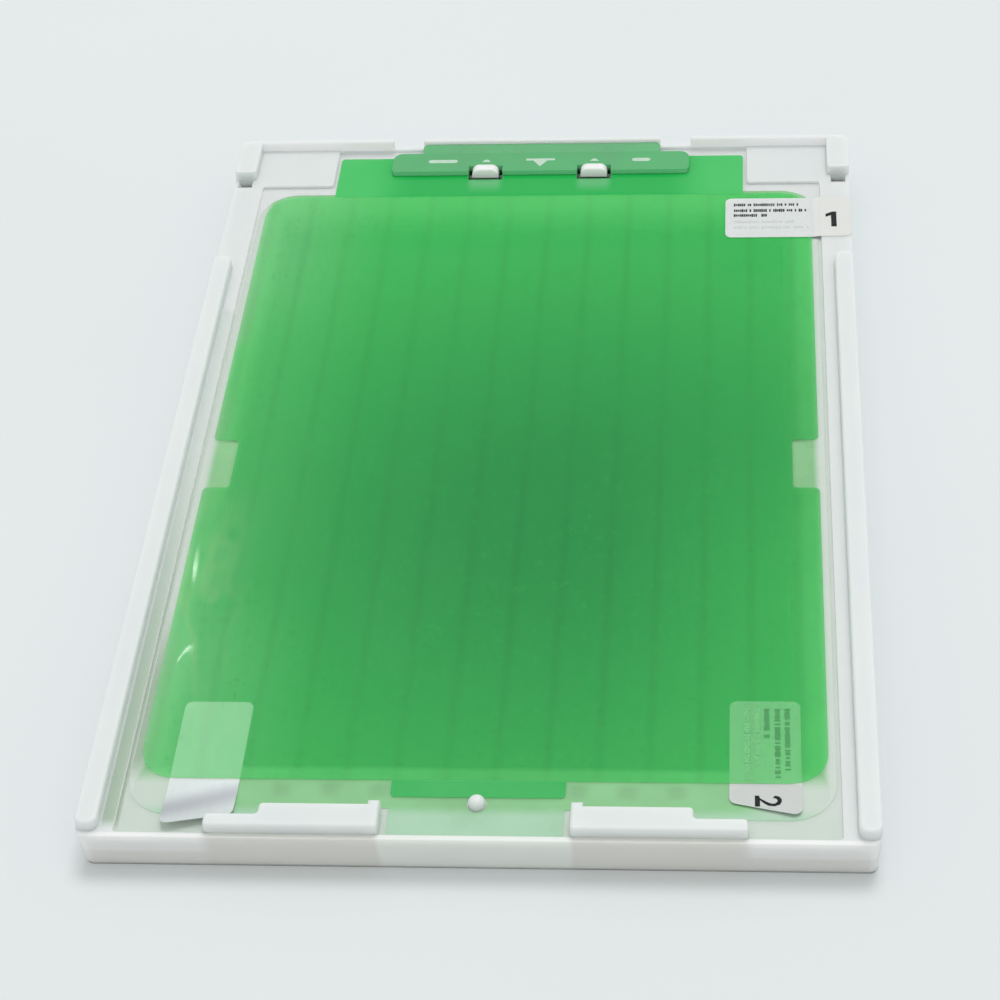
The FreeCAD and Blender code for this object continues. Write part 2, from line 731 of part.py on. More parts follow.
def build_blank_label():
    left = f"(blank_label_from_side - {FILM_SIDE})"
    tab_end = f"({BLOCK_FRONT} + blank_label_front_gap)"
    short_end = f"({tab_end} + blank_label_slant)"
    return build_near_label(
        "pull_label_blank", left, "blank_label_width", "blank_label_flat", tab_end, short_end, tab_end,
        "blank_label_curl")


def check(pieces):
    """Stops before anything is written if an object failed or a piece is not one valid solid."""
    for item in doc.Objects:
        if "Invalid" in item.State or "Error" in item.State:
            raise RuntimeError(f"{item.Label} failed: {item.State}")
    for piece in pieces:
        shape = piece.Shape
        if shape.isNull() or not shape.isValid() or len(shape.Solids) != 1:
            raise RuntimeError(f"{piece.Label} is not one valid solid")


def write(pieces):
    os.makedirs("parts", exist_ok=True)
    for piece in pieces:
        piece.Shape.exportStep(f"parts/{piece.Label}.step")
        box = piece.Shape.BoundBox
        print(f"{piece.Label}: {piece.Shape.Volume:.1f} mm3, x {box.XMin:.2f} to {box.XMax:.2f},"
              f" y {box.YMin:.2f} to {box.YMax:.2f}, z {box.ZMin:.2f} to {box.ZMax:.2f}")


fill_sheet()
pieces = [
    build_tray(),
    build_carrier(),
    build_protector(),
    build_release_film(),
    build_hook_strip(),
    build_label_1(),
    build_label_2(),
    build_blank_label(),
]
doc.recompute()
check(pieces)
write(pieces)
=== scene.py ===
import math

import bmesh
import bpy
from bpy.props import FloatProperty, FloatVectorProperty, IntProperty, PointerProperty
from mathutils import Matrix, Vector
from mathutils.bvhtree import BVHTree


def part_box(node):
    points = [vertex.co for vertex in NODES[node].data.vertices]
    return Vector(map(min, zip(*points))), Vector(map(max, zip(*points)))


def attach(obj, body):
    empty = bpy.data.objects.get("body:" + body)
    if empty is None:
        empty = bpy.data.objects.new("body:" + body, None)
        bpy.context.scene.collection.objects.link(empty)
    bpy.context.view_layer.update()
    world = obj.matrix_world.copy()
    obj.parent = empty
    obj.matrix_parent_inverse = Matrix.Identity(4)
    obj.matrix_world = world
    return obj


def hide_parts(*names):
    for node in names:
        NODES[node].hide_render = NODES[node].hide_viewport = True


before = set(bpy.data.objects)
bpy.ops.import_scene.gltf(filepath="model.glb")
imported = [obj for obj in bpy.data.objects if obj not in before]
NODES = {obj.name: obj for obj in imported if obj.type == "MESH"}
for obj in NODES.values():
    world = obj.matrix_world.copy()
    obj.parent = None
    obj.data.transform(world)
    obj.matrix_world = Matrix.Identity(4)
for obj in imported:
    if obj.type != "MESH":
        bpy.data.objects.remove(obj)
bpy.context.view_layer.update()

bl_info = {
    "name": "Screen Protector in its Tray",
    "version": (1, 0, 0),
    "blender": (4, 5, 0),
    "location": "3D View > Sidebar > Protector",
    "description": "Dresses a paper-feel screen protector, its films, labels and alignment tray",
    "category": "Object",
}

BODY = "root"
MM = 0.001

# Boxes that the places below are counted from
FILM_LOW, FILM_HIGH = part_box("paper_feel_protector")
CARRIER_LOW, CARRIER_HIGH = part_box("carrier_film")
RELEASE_LOW, RELEASE_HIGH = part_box("release_film")
STRIP_LOW, STRIP_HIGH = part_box("hook_strip")
LABEL_1_LOW, LABEL_1_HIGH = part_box("pull_label_1")
LABEL_2_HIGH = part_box("pull_label_2")[1]
TRAY_LOW, TRAY_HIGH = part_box("alignment_tray")

# The tray's deck and bed, and the window under the films
DECK = CARRIER_LOW.z + 1.0 * MM
BED_SIDE = CARRIER_HIGH.x + 1.2 * MM
BED_REACH_FAR = CARRIER_HIGH.y - 18 * MM
WINDOW_SIDE = FILM_HIGH.x - 6.5 * MM
WINDOW_NEAR = FILM_LOW.y + 3.9 * MM
WINDOW_FAR = FILM_HIGH.y - 8.0 * MM

# The tray's front wall with the blocks behind it, and its far wall
FRONT_WALL = TRAY_LOW.y + 1.3 * MM
# The top of the front wall's lower band of painted shade, and of the painted contact shadow at its foot
FRONT_BAND_TOP = 5.8 * MM
CONTACT_SHADOW_TOP = 0.6 * MM
BLOCK_INNER = 23.8 * MM
BLOCK_OUTER = 67.5 * MM
FAR_WALL = TRAY_HIGH.y - 1.9 * MM

# The lugs, their slots in the films, and the lugs' painted reflection in the film in front of them
LUG_X = 17.7 * MM
LUG_HALF = 4.9 * MM
LUG_FACE = STRIP_LOW.y - 1.3 * MM
LUG_NEAR = LUG_FACE - 0.5 * MM
LUG_FAR = LUG_FACE + 3.5 * MM
SLOT_HALF = 6.7 * MM
SLOT_MARGIN = 1.0 * MM
REFLECTION_FROM = LUG_FACE - 9 * MM
REFLECTION_TO = LUG_FACE - 2 * MM

# The channel between the left bar and the films
CHANNEL_OUTER = -CARRIER_HIGH.x - 4.4 * MM
CHANNEL_INNER = -CARRIER_HIGH.x - 0.3 * MM
CHANNEL_NEAR = TRAY_LOW.y + 4 * MM
CHANNEL_FAR = 60 * MM

# The clips' windows under the carrier film, to each side of the pin
CLIP_WINDOWS_X = (25.0 * MM, 37.4 * MM, 49.8 * MM)
CLIP_WINDOW_Y = FILM_LOW.y - 3.0 * MM
CLIP_HALF_WIDTH = 2.2 * MM
CLIP_HALF_DEPTH = 2.0 * MM

# The notch in each long edge of the upper films
NOTCH_X = FILM_HIGH.x - 7.5 * MM
NOTCH_NEAR = FILM_LOW.y + 107 * MM
NOTCH_FAR = FILM_LOW.y + 127 * MM

# The green film: where its painted shade is darkest, where its faint lines start and where it lifts
DARKEST_X = 12 * MM
DARKEST_Y = -30 * MM
BAND_START = 59.5 * MM
LIFT_NEAR = -96 * MM
LIFT_FAR = -30 * MM
LIFT_FADE = 18 * MM
FRINGE_WIDTH = 6 * MM

# Tones that darken the green film at its faint lines and towards its near tab
BAND_TONE = (0.90, 0.905, 0.90)
NEAR_TAB_TONE = (0.75, 0.83, 0.82)

# The first label's tab and the painted shade across the silver one's curled tab
TAB_FROM = LABEL_1_LOW.x + 27.4 * MM
FOLD_NEAR = FILM_LOW.y + 14 * MM
FOLD_FAR = FILM_LOW.y + 19.5 * MM
FOLD_SLANT = 0.35

# The gap between layers, and the tolerances of the meshes
LAYER_GAP = 0.02 * MM
MERGE_REACH = 1e-6
CUT_REACH = 1e-7
UPWARD = 0.9
FLAT_ANGLE = math.radians(0.5)
SHARP_ANGLE = math.radians(35)


def colour(name, description, default):
    """A colour that a user may change."""
    return FloatVectorProperty(
        name=name, description=description, default=default, subtype="COLOR", size=3, min=0.0, max=1.0)


def length(name, description, default):
    """A length that a user may change, in metres."""
    return FloatProperty(name=name, description=description, default=default, unit="LENGTH", precision=5)


def share(name, description, default):
    """A share between nothing and all."""
    return FloatProperty(
        name=name, description=description, default=default, min=0.0, max=1.0, subtype="FACTOR")


def strength(name, description, default):
    """A strength of light."""
    return FloatProperty(name=name, description=description, default=default, min=0.0)


class TraySettings(bpy.types.PropertyGroup):
    plastic: colour("Plastic", "The tray's milky plastic", (0.72, 0.76, 0.755))
    # The front wall's tones are painted light and shade: lighter than the plastic, greyer where a block
    # stands behind it or low down, pale green by the films' tabs
    front: colour("Front wall", "The wall on the near side", (0.88, 0.89, 0.87))
    shaded: colour("Doubled wall", "The front wall where a block stands behind it", (0.735, 0.735, 0.69))
    clouds_and_tab_glow: colour("Wall by the films", "The front wall by the films' near tabs", (0.82, 0.865, 0.80))
    # Painted light on the walls that light shines through
    thin: colour("Thin walls", "The walls that let light through", (0.99, 0.965, 0.99))
    # A painted contact shadow at the front wall's foot
    foot: colour("Foot line", "The dark line where the front wall meets the table", (0.30, 0.31, 0.29))
    # Painted shade, tinted green, in the left channel
    side: colour("Left channel", "The deck between the left bar and the films", (0.37, 0.485, 0.37))
    # Painted dark green shade in the lugs' slots
    slot: colour("Lug slots", "The tray where it shows through the lugs' slots", (0.03, 0.16, 0.05))
    # Painted green light from the films on the bed
    bed: colour("Bed", "The sunk bed round the films, which takes on their green", (0.605, 0.70, 0.615))
    roughness: share("Roughness", "How dull the moulded face is", 0.42)


class FilmSettings(bpy.types.PropertyGroup):
    # Painted shade deepens the green film over the open window, and painted light lightens it towards its
    # edges
    green: colour("Green film", "The release film in the middle of the window", (0.010, 0.38, 0.068))
    light_green: colour("Light green", "The release film towards its edges", (0.058, 0.70, 0.135))
    # A painted sheen where the film stands off
    lifted_sheen: colour("Haze", "The release film where it stands off by its left edge", (0.20, 0.74, 0.27))
    tab_green: colour("Green tab", "The release film's tabs", (0.045, 0.57, 0.125))
    tab_middle: colour("Tab middle", "The far tab in front of the hook strip", (0.012, 0.48, 0.085))
    # A painted reflection of each lug in the film in front of it
    stretched: colour("Stretched film", "The film in front of each lug", (0.22, 0.58, 0.30))
    # Painted highlights along the lifted film's wrinkles
    wrinkle_highlight: colour("Wrinkles", "The lines of the lifted film", (0.55, 0.85, 0.38))
    rim: colour("Carrier rim", "The carrier film over the tray's ledge", (0.26, 0.56, 0.27))
    margin: colour("Carrier margin", "The carrier film past the other films", (0.68, 0.75, 0.69))
    # Painted shade of the left wall on the carrier's margin
    near_margin: colour("Near left margin", "The carrier film by the left wall", (0.36, 0.49, 0.36))
    pin_tab: colour("Carrier pin tab", "The carrier film's tab at the pin", (0.46, 0.70, 0.52))
    # Painted shade of the open window behind the carrier film
    middle: colour("Carrier middle", "The carrier film over the open window", (0.003, 0.13, 0.031))
    matte: colour("Protector", "The paper-feel film", (0.62, 0.74, 0.65))
    green_cover: share("Green cover", "How much each face of the release film hides", 0.43)
    ripple_height: length("Ripple height", "How far the film stands up at its ripples", 0.16 * MM)
    ripple_width: length("Ripple width", "Half the width of a ripple", 1.6 * MM)
    lift_reach: length("Lift reach", "How far in from the left edge the film has ripples", 22 * MM)
    band_pitch: length("Band pitch", "Distance between the faint lines along the film", 12.77 * MM)
    grid: length("Mesh step", "Size of the film's mesh faces where it lifts", 0.6 * MM)


class StripSettings(bpy.types.PropertyGroup):
    film: colour("Strip", "The hook strip's dull green", (0.075, 0.42, 0.145))
    # Painted light on the strip's near face
    edge: colour("Strip edge", "The strip's thin near face", (0.20, 0.69, 0.34))
    marks: colour("Marks", "The pale marks on the strip", (0.50, 0.66, 0.54))
    mark_line: length("Mark line", "Distance of the marks from the strip's near edge", 5.45 * MM)
    dash_height: length("Dash height", "Height of the dashes", 1.7 * MM)
    arrow_width: length("Arrow width", "Width of the arrow in the middle", 9.4 * MM)
    arrow_height: length("Arrow height", "Height of the arrow in the middle", 4.2 * MM)


class LabelSettings(bpy.types.PropertyGroup):
    paper: colour("Paper", "The first label's white paper", (0.71, 0.745, 0.73))
    tab_paper: colour("Tab", "The grey tab of the first label", (0.73, 0.75, 0.715))
    under_paper: colour("Paper under the films", "The second label's paper", (0.78, 0.69, 0.74))
    bare_paper: colour("Bare paper", "The second label's tab", (0.59, 0.62, 0.60))
    under_silver: colour("Silver under the films", "The blank label's covered part", (0.86, 0.78, 0.85))
    silver: colour("Silver", "The blank label's silvery tab", (0.66, 0.71, 0.70))
    # Painted shade where the silver tab curls
    curl_shade: colour("Crease", "The darker fold across the silver tab", (0.46, 0.48, 0.50))
    backing: colour("Backing", "The labels' underside", (0.93, 0.94, 0.93))
    ink: colour("Ink", "Numerals and dark rows", (0.012, 0.013, 0.014))
    pale_ink: colour("Pale ink", "The two pale rows", (0.55, 0.58, 0.59))
    film_ink: colour("Ink on the film", "The second label's dark rows", (0.07, 0.28, 0.098))
    pale_film_ink: colour("Pale ink on the film", "Its two pale rows", (0.178, 0.50, 0.213))
    letter_pitch: length("Letter pitch", "Distance between the blocks of a row", 0.62 * MM)
    letter_height: length("Letter height", "Height of the blocks of a row", 1.6 * MM)
    word_gaps: share("Word gaps", "Share of the blocks left out between words", 0.13)
    seed: IntProperty(name="Seed", description="Changes the rows' word lengths", default=4, min=0)


class StageSettings(bpy.types.PropertyGroup):
    floor: colour("Floor", "The pale table", (0.768, 0.807, 0.815))
    sky: strength("Sky", "Strength of the light from all round", 0.70)
    key: strength("Key", "Strength of the soft light from behind", 1.05)
    glint: strength("Glint", "Power of the small lamp that the ripples mirror", 0.28)
    key_spread: FloatProperty(
        name="Key spread", description="Width of the soft light", default=math.radians(24), subtype="ANGLE")
    lens: FloatProperty(
        name="Lens", description="Focal length", default=88.35, unit="CAMERA", subtype="DISTANCE_CAMERA")


def set_socket(tree, socket, given):
    """Links a socket to the one that is given, or sets its own value."""
    if isinstance(given, bpy.types.NodeSocket):
        tree.links.new(given, socket)
    elif socket.type == "RGBA":
        socket.default_value = (*given[:3], 1.0)
    else:
        socket.default_value = given


def add_node(tree, kind, inputs=None, **settings):
    """Adds a node to a tree, with its settings and inputs."""
    made = tree.nodes.new(kind)
    for name, setting in settings.items():
        setattr(made, name, setting)
    for key, given in (inputs or {}).items():
        set_socket(tree, made.inputs[key], given)
    return made


def scaled(tone, by, add=0.0):
    """A tone made lighter or darker."""
    return tuple(min(1.0, part * by + add) for part in tone)


class Paint:
    """One node material: keeps its tree and its shader, and adds nodes by short calls."""

    def __init__(self, name):
        self.material = bpy.data.materials.new(name)
        self.material.use_nodes = True
        self.tree = self.material.node_tree
        self.shader = self.tree.nodes["Principled BSDF"]
        self.place = self.add("ShaderNodeTexCoord").outputs["Object"]
        self.x, self.y, self.z = self.split(self.place)
        self.aside = self.calc("ABSOLUTE", self.x)

    def add(self, kind, inputs=None, **settings):
        return add_node(self.tree, kind, inputs, **settings)

    def split(self, vector):
        return self.add("ShaderNodeSeparateXYZ", {"Vector": vector}).outputs

    def facing(self, axis):
        """How far the surface faces along an axis: 0 for x, 1 for y, 2 for z."""
        return self.split(self.add("ShaderNodeNewGeometry").outputs["Normal"])[axis]

    def finish(self, **inputs):
        """Sets the shader's own sockets; an underscore in a name stands for a space."""
        for name, given in inputs.items():
            set_socket(self.tree, self.shader.inputs[name.replace("_", " ")], given)
        return self.material

    def calc(self, operation, *values):
        return self.add("ShaderNodeMath", dict(enumerate(values)), operation=operation).outputs[0]

    def times(self, first, *others):
        """The product of shares."""
        for other in others:
            first = self.calc("MULTIPLY", first, other)
        return first

    def ramp(self, given, low, high, start=0.0, end=1.0):
        """Goes smoothly from start to end while given goes from low to high."""
        inputs = {"Value": given, "From Min": low, "From Max": high, "To Min": start, "To Max": end}
        return self.add("ShaderNodeMapRange", inputs, interpolation_type="SMOOTHSTEP").outputs["Result"]

    def above(self, given, level, soft, most=1.0):
        """Rises from nothing to most where given passes a level, over soft on each side of it."""
        return self.ramp(given, level - soft, level + soft, end=most)

    def below(self, given, level, soft, most=1.0):
        """Falls from most to nothing where given passes a level, over soft on each side of it."""
        return self.ramp(given, level + soft, level - soft, end=most)

    def inside(self, low, high, given, soft):
        """One between low and high along given, fading to nothing over soft at both ends."""
        return self.times(self.above(given, low, soft), self.below(given, high, soft))

    def within(self, given, middle, half, soft, most=1.0):
        """Most up to half away from a middle along given, fading to nothing over soft on each side."""
        away = self.calc("ABSOLUTE", self.calc("SUBTRACT", given, middle))
        return self.below(away, half, soft, most)

    def faces_near(self):
        """One on the faces that look to the near end."""
        return self.ramp(self.facing(1), -0.4, -0.8)

    def mix(self, factor, first, second, blend="MIX"):
        inputs = {0: factor, 6: first, 7: second}
        return self.add("ShaderNodeMix", inputs, data_type="RGBA", blend_type=blend).outputs[2]

    def stretched(self, scale):
        return self.add("ShaderNodeMapping", {"Vector": self.place, "Scale": scale}).outputs["Vector"]

    def noise(self, scale, detail=2.0, vector=None):
        inputs = {"Vector": vector or self.place, "Scale": scale, "Detail": detail}
        return self.add("ShaderNodeTexNoise", inputs).outputs["Fac"]

    def clouded(self, noise, first, second, low=0.35, high=0.7, most=1.0):
        """Goes from one tone to another as the noise rises."""
        return self.mix(self.ramp(noise, low, high, end=most), first, second)

    def uneven(self, noise, least, most):
        """A value that goes from least to most with the noise."""
        return self.ramp(noise, 0.3, 0.7, least, most)

    def bump(self, height, strength, distance, normal=None):
        inputs = {"Height": height, "Strength": strength, "Distance": distance}
        if normal is not None:
            inputs["Normal"] = normal
        return self.add("ShaderNodeBump", inputs).outputs["Normal"]


def bed_glow_share(paint):
    """One on the sunk bed round the films and nothing on the rest of the tray."""
    sunk = paint.below(paint.z, CARRIER_LOW.z + 0.5 * MM, 0.2 * MM)
    across = paint.below(paint.aside, CARRIER_HIGH.x + 1 * MM, 1 * MM)
    near = paint.below(paint.y, BED_REACH_FAR, 22 * MM)
    behind_front = paint.above(paint.y, FRONT_WALL + 0.2 * MM, 0.3 * MM)
    return paint.times(sunk, across, near, behind_front)


def painted_glow_share(paint):
    """One on the lugs and the far wall's near face, which are thin enough to let light through; the glow
    there is painted light.
    """
    above_film = paint.above(paint.z, RELEASE_HIGH.z + 0.1 * MM, 0.1 * MM)
    across = paint.within(paint.aside, LUG_X, LUG_HALF, 0.3 * MM)
    lug = paint.times(across, paint.inside(LUG_NEAR, LUG_FAR, paint.y, 0.3 * MM))
    wall = paint.times(paint.above(paint.y, FAR_WALL, 0.2 * MM), paint.faces_near())
    return paint.times(above_film, paint.calc("MAXIMUM", lug, wall))


def slot_shade_share(paint):
    """One on the tray under the lugs' slots in the films, where the dark green is painted shade."""
    under_film = paint.below(paint.z, RELEASE_LOW.z - 0.1 * MM, 0.1 * MM)
    across = paint.within(paint.aside, LUG_X, SLOT_HALF, 0.3 * MM)
    along = paint.inside(LUG_NEAR - SLOT_MARGIN, LUG_FAR + SLOT_MARGIN, paint.y, 0.3 * MM)
    return paint.times(under_film, across, along)


def wall_glow_share(paint):
    """One on the low side walls of the bed, which let light through; painted light there lifts their shade.
    """
    at_wall = paint.within(paint.aside, BED_SIDE, 0.2 * MM, 0.05 * MM)
    return paint.times(at_wall, paint.ramp(paint.calc("ABSOLUTE", paint.facing(0)), 0.4, 0.8))


def channel_shade_share(paint):
    """How much painted shade, tinted with the films' green light, lies in the left channel, more towards
    its near end.
    """
    on_deck = paint.below(paint.z, DECK + 0.25 * MM, 0.15 * MM)
    across = paint.inside(CHANNEL_OUTER, CHANNEL_INNER, paint.x, 0.4 * MM)
    along = paint.inside(CHANNEL_NEAR, CHANNEL_FAR, paint.y, 2 * MM)
    nearer = paint.ramp(paint.y, 20 * MM, -110 * MM, 0.25, 0.9)
    return paint.times(on_deck, across, along, nearer)


def tray_plastic(settings):
    """Milky moulded plastic, with painted shade greyer on the front wall where a block stands behind it,
    and other painted light and shade round the films.
    """
    paint = Paint("milky_plastic")
    # Painted light and shade on the front wall: lighter than the plastic, greyer where a block stands
    # behind it and low down, pale green by the films' tabs, with a painted contact shadow at its foot
    front = paint.below(paint.y, FRONT_WALL, 0.3 * MM)
    past_tab = paint.above(paint.aside, BLOCK_INNER, 1.2 * MM)
    block_shade = paint.times(past_tab, paint.below(paint.aside, BLOCK_OUTER, 2.5 * MM), front)
    tab_glow = paint.times(paint.below(paint.aside, BLOCK_INNER, 1.2 * MM), front)
    low_shade = paint.times(paint.below(paint.z, FRONT_BAND_TOP, 0.8 * MM, most=0.8), front)
    foot = paint.times(paint.below(paint.z, CONTACT_SHADOW_TOP, 0.4 * MM, most=0.6), front)
    cloud = paint.noise(scale=38.0, detail=3.0)
    fine = paint.noise(scale=2600.0)
    base = paint.clouded(cloud, settings.plastic, settings.clouds_and_tab_glow, most=0.16)
    # Painted green light from the films on the sunk bed
    bed = paint.times(bed_glow_share(paint), paint.ramp(cloud, 0.25, 0.6, 0.45, 1.0))
    # The masks below carry painted light and shade: the front wall's tones, the glow of the thin walls, the
    # dark green shade in the slots, the green light on the bed and the shade in the left channel
    for where, tone in (
            (front, settings.front), (low_shade, settings.shaded), (block_shade, settings.shaded),
            (tab_glow, settings.clouds_and_tab_glow), (foot, settings.foot), (painted_glow_share(paint), settings.thin),
            (slot_shade_share(paint), settings.slot), (bed, settings.bed), (channel_shade_share(paint), settings.side),
            (wall_glow_share(paint), settings.thin)):
        base = paint.mix(where, base, tone)
    edge = paint.add("ShaderNodeBevel", {"Radius": 0.2 * MM}, samples=4).outputs["Normal"]
    return paint.finish(
        Base_Color=base,
        Roughness=paint.uneven(fine, settings.roughness - 0.06, settings.roughness + 0.08),
        Normal=paint.bump(fine, strength=0.08, distance=0.05 * MM, normal=edge),
        Specular_IOR_Level=0.42,
        Subsurface_Weight=0.8,
        Subsurface_Scale=4 * MM,
        Subsurface_Radius=(1.0, 1.0, 1.0),
    )


def film_bands(paint, pitch):
    """The faint lines along the film, one at each pitch, stronger and weaker in clouds."""
    turn = paint.calc("FRACT", paint.calc("DIVIDE", paint.calc("ADD", paint.x, BAND_START), pitch))
    from_middle = paint.calc("ABSOLUTE", paint.calc("SUBTRACT", turn, 0.5))
    cloud = paint.noise(scale=9.0, detail=1.0)
    return paint.times(paint.ramp(from_middle, 0.34, 0.5), paint.uneven(cloud, 0.6, 1.0))


def film_green(paint, settings):
    """The film's green: painted shade deep near its middle over the open window, painted light towards its
    edges over the ledge, and a painted sheen to the left.
    """
    out = paint.calc("DIVIDE", paint.calc("SUBTRACT", paint.x, DARKEST_X), FILM_HIGH.x)
    far = paint.calc("DIVIDE", paint.calc("SUBTRACT", paint.y, DARKEST_Y), FILM_HIGH.y - DARKEST_Y)
    out = paint.times(paint.calc("POWER", out, 2.0), 0.35)
    outward = paint.calc("SQRT", paint.calc("ADD", out, paint.calc("POWER", far, 2.0)))
    # Painted shade deep in the middle over the open window, painted light towards the edges
    base = paint.mix(paint.ramp(outward, 0.05, 1.1), settings.green, settings.light_green)
    to_left = paint.ramp(paint.x, -40 * MM, -90 * MM)
    to_far = paint.ramp(paint.y, 30 * MM, 100 * MM, 0.3, 0.95)
    to_near = paint.ramp(paint.y, -50 * MM, -90 * MM, 0.0, 0.45)
    # A painted sheen to the left, where the film stands off
    base = paint.mix(paint.times(to_left, paint.calc("ADD", to_far, to_near)), base, settings.lifted_sheen)
    # Lighter again towards the near right, as painted light
    to_right = paint.ramp(paint.x, 20 * MM, 90 * MM)
    near_right = paint.times(to_right, paint.ramp(paint.y, 20 * MM, -60 * MM))
    return paint.mix(paint.times(near_right, 0.45), base, settings.light_green)


def lifted_share(paint, reach):
    """One where the green film stands off by its left edge."""
    by_edge = paint.ramp(paint.x, FILM_LOW.x + reach, FILM_LOW.x + 0.3 * reach)
    return paint.times(by_edge, paint.inside(LIFT_NEAR, LIFT_FAR, paint.y, LIFT_FADE))


def green_film(settings):
    """Satin green film with faint lengthwise bands, fine specks, and a mottled painted sheen with painted
    highlight lines where it lifts.
    """
    paint = Paint("green_film")
    lifted = lifted_share(paint, settings.lift_reach)
    mottle = paint.noise(scale=60.0, detail=1.0, vector=paint.stretched((1.5, 0.6, 1.0)))
    wrinkle_highlight = paint.ramp(paint.calc("ABSOLUTE", paint.calc("SUBTRACT", mottle, 0.5)), 0.07, 0.0)
    fringe = paint.ramp(paint.x, FILM_LOW.x + FRINGE_WIDTH, FILM_LOW.x)
    light_specks = paint.ramp(paint.noise(scale=900.0, detail=0.0), 0.7, 0.76, end=0.3)
    dark_specks = paint.ramp(paint.noise(scale=700.0, detail=0.0), 0.29, 0.24, end=0.3)
    base = film_green(paint, settings)
    base = paint.mix(film_bands(paint, settings.band_pitch), base, BAND_TONE, "MULTIPLY")
    for where, tone in (
            (light_specks, settings.light_green),
            (dark_specks, scaled(settings.green, 0.8)),
            # A mottled painted sheen and painted highlight lines where the film lifts
            (paint.times(lifted, paint.ramp(mottle, 0.4, 0.65, end=0.4)), settings.lifted_sheen),
            (paint.times(wrinkle_highlight, lifted, 0.18), settings.wrinkle_highlight),
            (paint.times(fringe, paint.ramp(paint.noise(scale=30.0), 0.35, 0.65, end=0.5)), settings.rim)):
        base = paint.mix(where, base, tone)
    return paint.finish(
        Base_Color=base,
        Roughness=0.42,
        Alpha=settings.green_cover,
        Specular_IOR_Level=0.12,
        Coat_Weight=paint.times(lifted, 0.7),
        Coat_Roughness=0.1,
    )


def green_tab(settings):
    """The bare glossy ends of the green film."""
    paint = Paint("green_tab")
    pale = scaled(settings.tab_green, 1.0, 0.03)
    base = paint.clouded(paint.noise(scale=26.0), settings.tab_green, pale, low=0.4, most=0.7)
    by_strip = paint.inside(STRIP_LOW.x, STRIP_HIGH.x, paint.x, 9 * MM)
    by_strip = paint.times(by_strip, paint.ramp(paint.y, 0.0, FILM_HIGH.y))
    base = paint.mix(by_strip, base, settings.tab_middle)
    # A painted reflection of each lug in the film in front of it
    lug_reflection = paint.within(paint.aside, LUG_X, 5 * MM, 1.5 * MM, most=0.6)
    lug_reflection = paint.times(lug_reflection, paint.ramp(paint.y, REFLECTION_FROM, REFLECTION_TO))
    base = paint.mix(lug_reflection, base, settings.stretched)
    base = paint.mix(paint.ramp(paint.y, FILM_HIGH.y, FILM_LOW.y), base, NEAR_TAB_TONE, "MULTIPLY")
    return paint.finish(
        Base_Color=base,
        Roughness=paint.uneven(paint.noise(scale=900.0), 0.16, 0.26),
        Alpha=0.8,
        Specular_IOR_Level=0.3,
    )


def ledge_share(paint):
    """How far a point is over the tray's ledge: nothing over the open window, one over the plastic."""
    side = paint.above(paint.aside, WINDOW_SIDE, 5 * MM)
    far = paint.above(paint.y, WINDOW_FAR - 4 * MM, 12 * MM)
    near = paint.below(paint.y, WINDOW_NEAR + 0.25 * MM, 1.25 * MM)
    return paint.calc("MAXIMUM", side, paint.calc("MAXIMUM", far, near))


def clip_shade_share(paint):
    """One over the clips' windows in the tray."""
    across = 0.0
    for place in CLIP_WINDOWS_X:
        across = paint.calc("ADD", across, paint.within(paint.aside, place, CLIP_HALF_WIDTH, 1.8 * MM))
    return paint.times(across, paint.within(paint.y, CLIP_WINDOW_Y, CLIP_HALF_DEPTH, 1.6 * MM))


def margin_share(paint):
    """One on the carrier film's near corners and past the other films' long edges."""
    by_near = paint.ramp(paint.y, FILM_LOW.y + 4 * MM, FILM_LOW.y - 2 * MM, end=0.9)
    corner = paint.times(paint.above(paint.aside, 70 * MM, 6 * MM), by_near)
    beyond = paint.ramp(paint.aside, FILM_HIGH.x - 2 * MM, FILM_HIGH.x + 0.5 * MM)
    return paint.calc("MAXIMUM", corner, beyond)


def near_left_share(paint):
    """How much the carrier's left margin is shaded by the wall, more towards its near end."""
    beyond = paint.ramp(paint.x, FILM_LOW.x + 2 * MM, FILM_LOW.x - 0.5 * MM)
    nearer = paint.ramp(paint.y, -60 * MM, -95 * MM, 0.1, 0.9)
    return paint.times(beyond, nearer, paint.ramp(paint.y, -128 * MM, -118 * MM))


def carrier_film(settings):
    """Pale film painted deep as painted shade where the open window lies behind it, with painted shade over
    the clips' windows.
    """
    paint = Paint("pale_film")
    cloud = paint.noise(scale=45.0, detail=3.0)
    rim = paint.clouded(cloud, settings.rim, scaled(settings.rim, 1.15))
    in_notch = paint.times(
        paint.inside(NOTCH_NEAR, NOTCH_FAR, paint.y, 1 * MM),
        paint.above(paint.aside, NOTCH_X - 0.1 * MM, 0.5 * MM))
    # Painted shade deep over the open window, the rim tone over the ledge and the notch
    base = paint.mix(paint.calc("MAXIMUM", ledge_share(paint), in_notch), settings.middle, rim)
    tab = paint.below(paint.y, CARRIER_LOW.y + 8 * MM, 2 * MM)
    for where, tone in (
            # Painted shade over the clips' windows, then the margins, the painted shade by the left wall
            # and the pin tab
            (paint.times(clip_shade_share(paint), 0.28), scaled(settings.rim, 0.6)),
            (margin_share(paint), settings.margin),
            (near_left_share(paint), settings.near_margin),
            (paint.times(tab, paint.ramp(cloud, 0.2, 0.6, 0.6, 1.0)), settings.pin_tab)):
        base = paint.mix(where, base, tone)
    return paint.finish(
        Base_Color=base,
        Roughness=paint.uneven(cloud, 0.24, 0.36),
        Alpha=0.72,
        Specular_IOR_Level=0.2,
    )


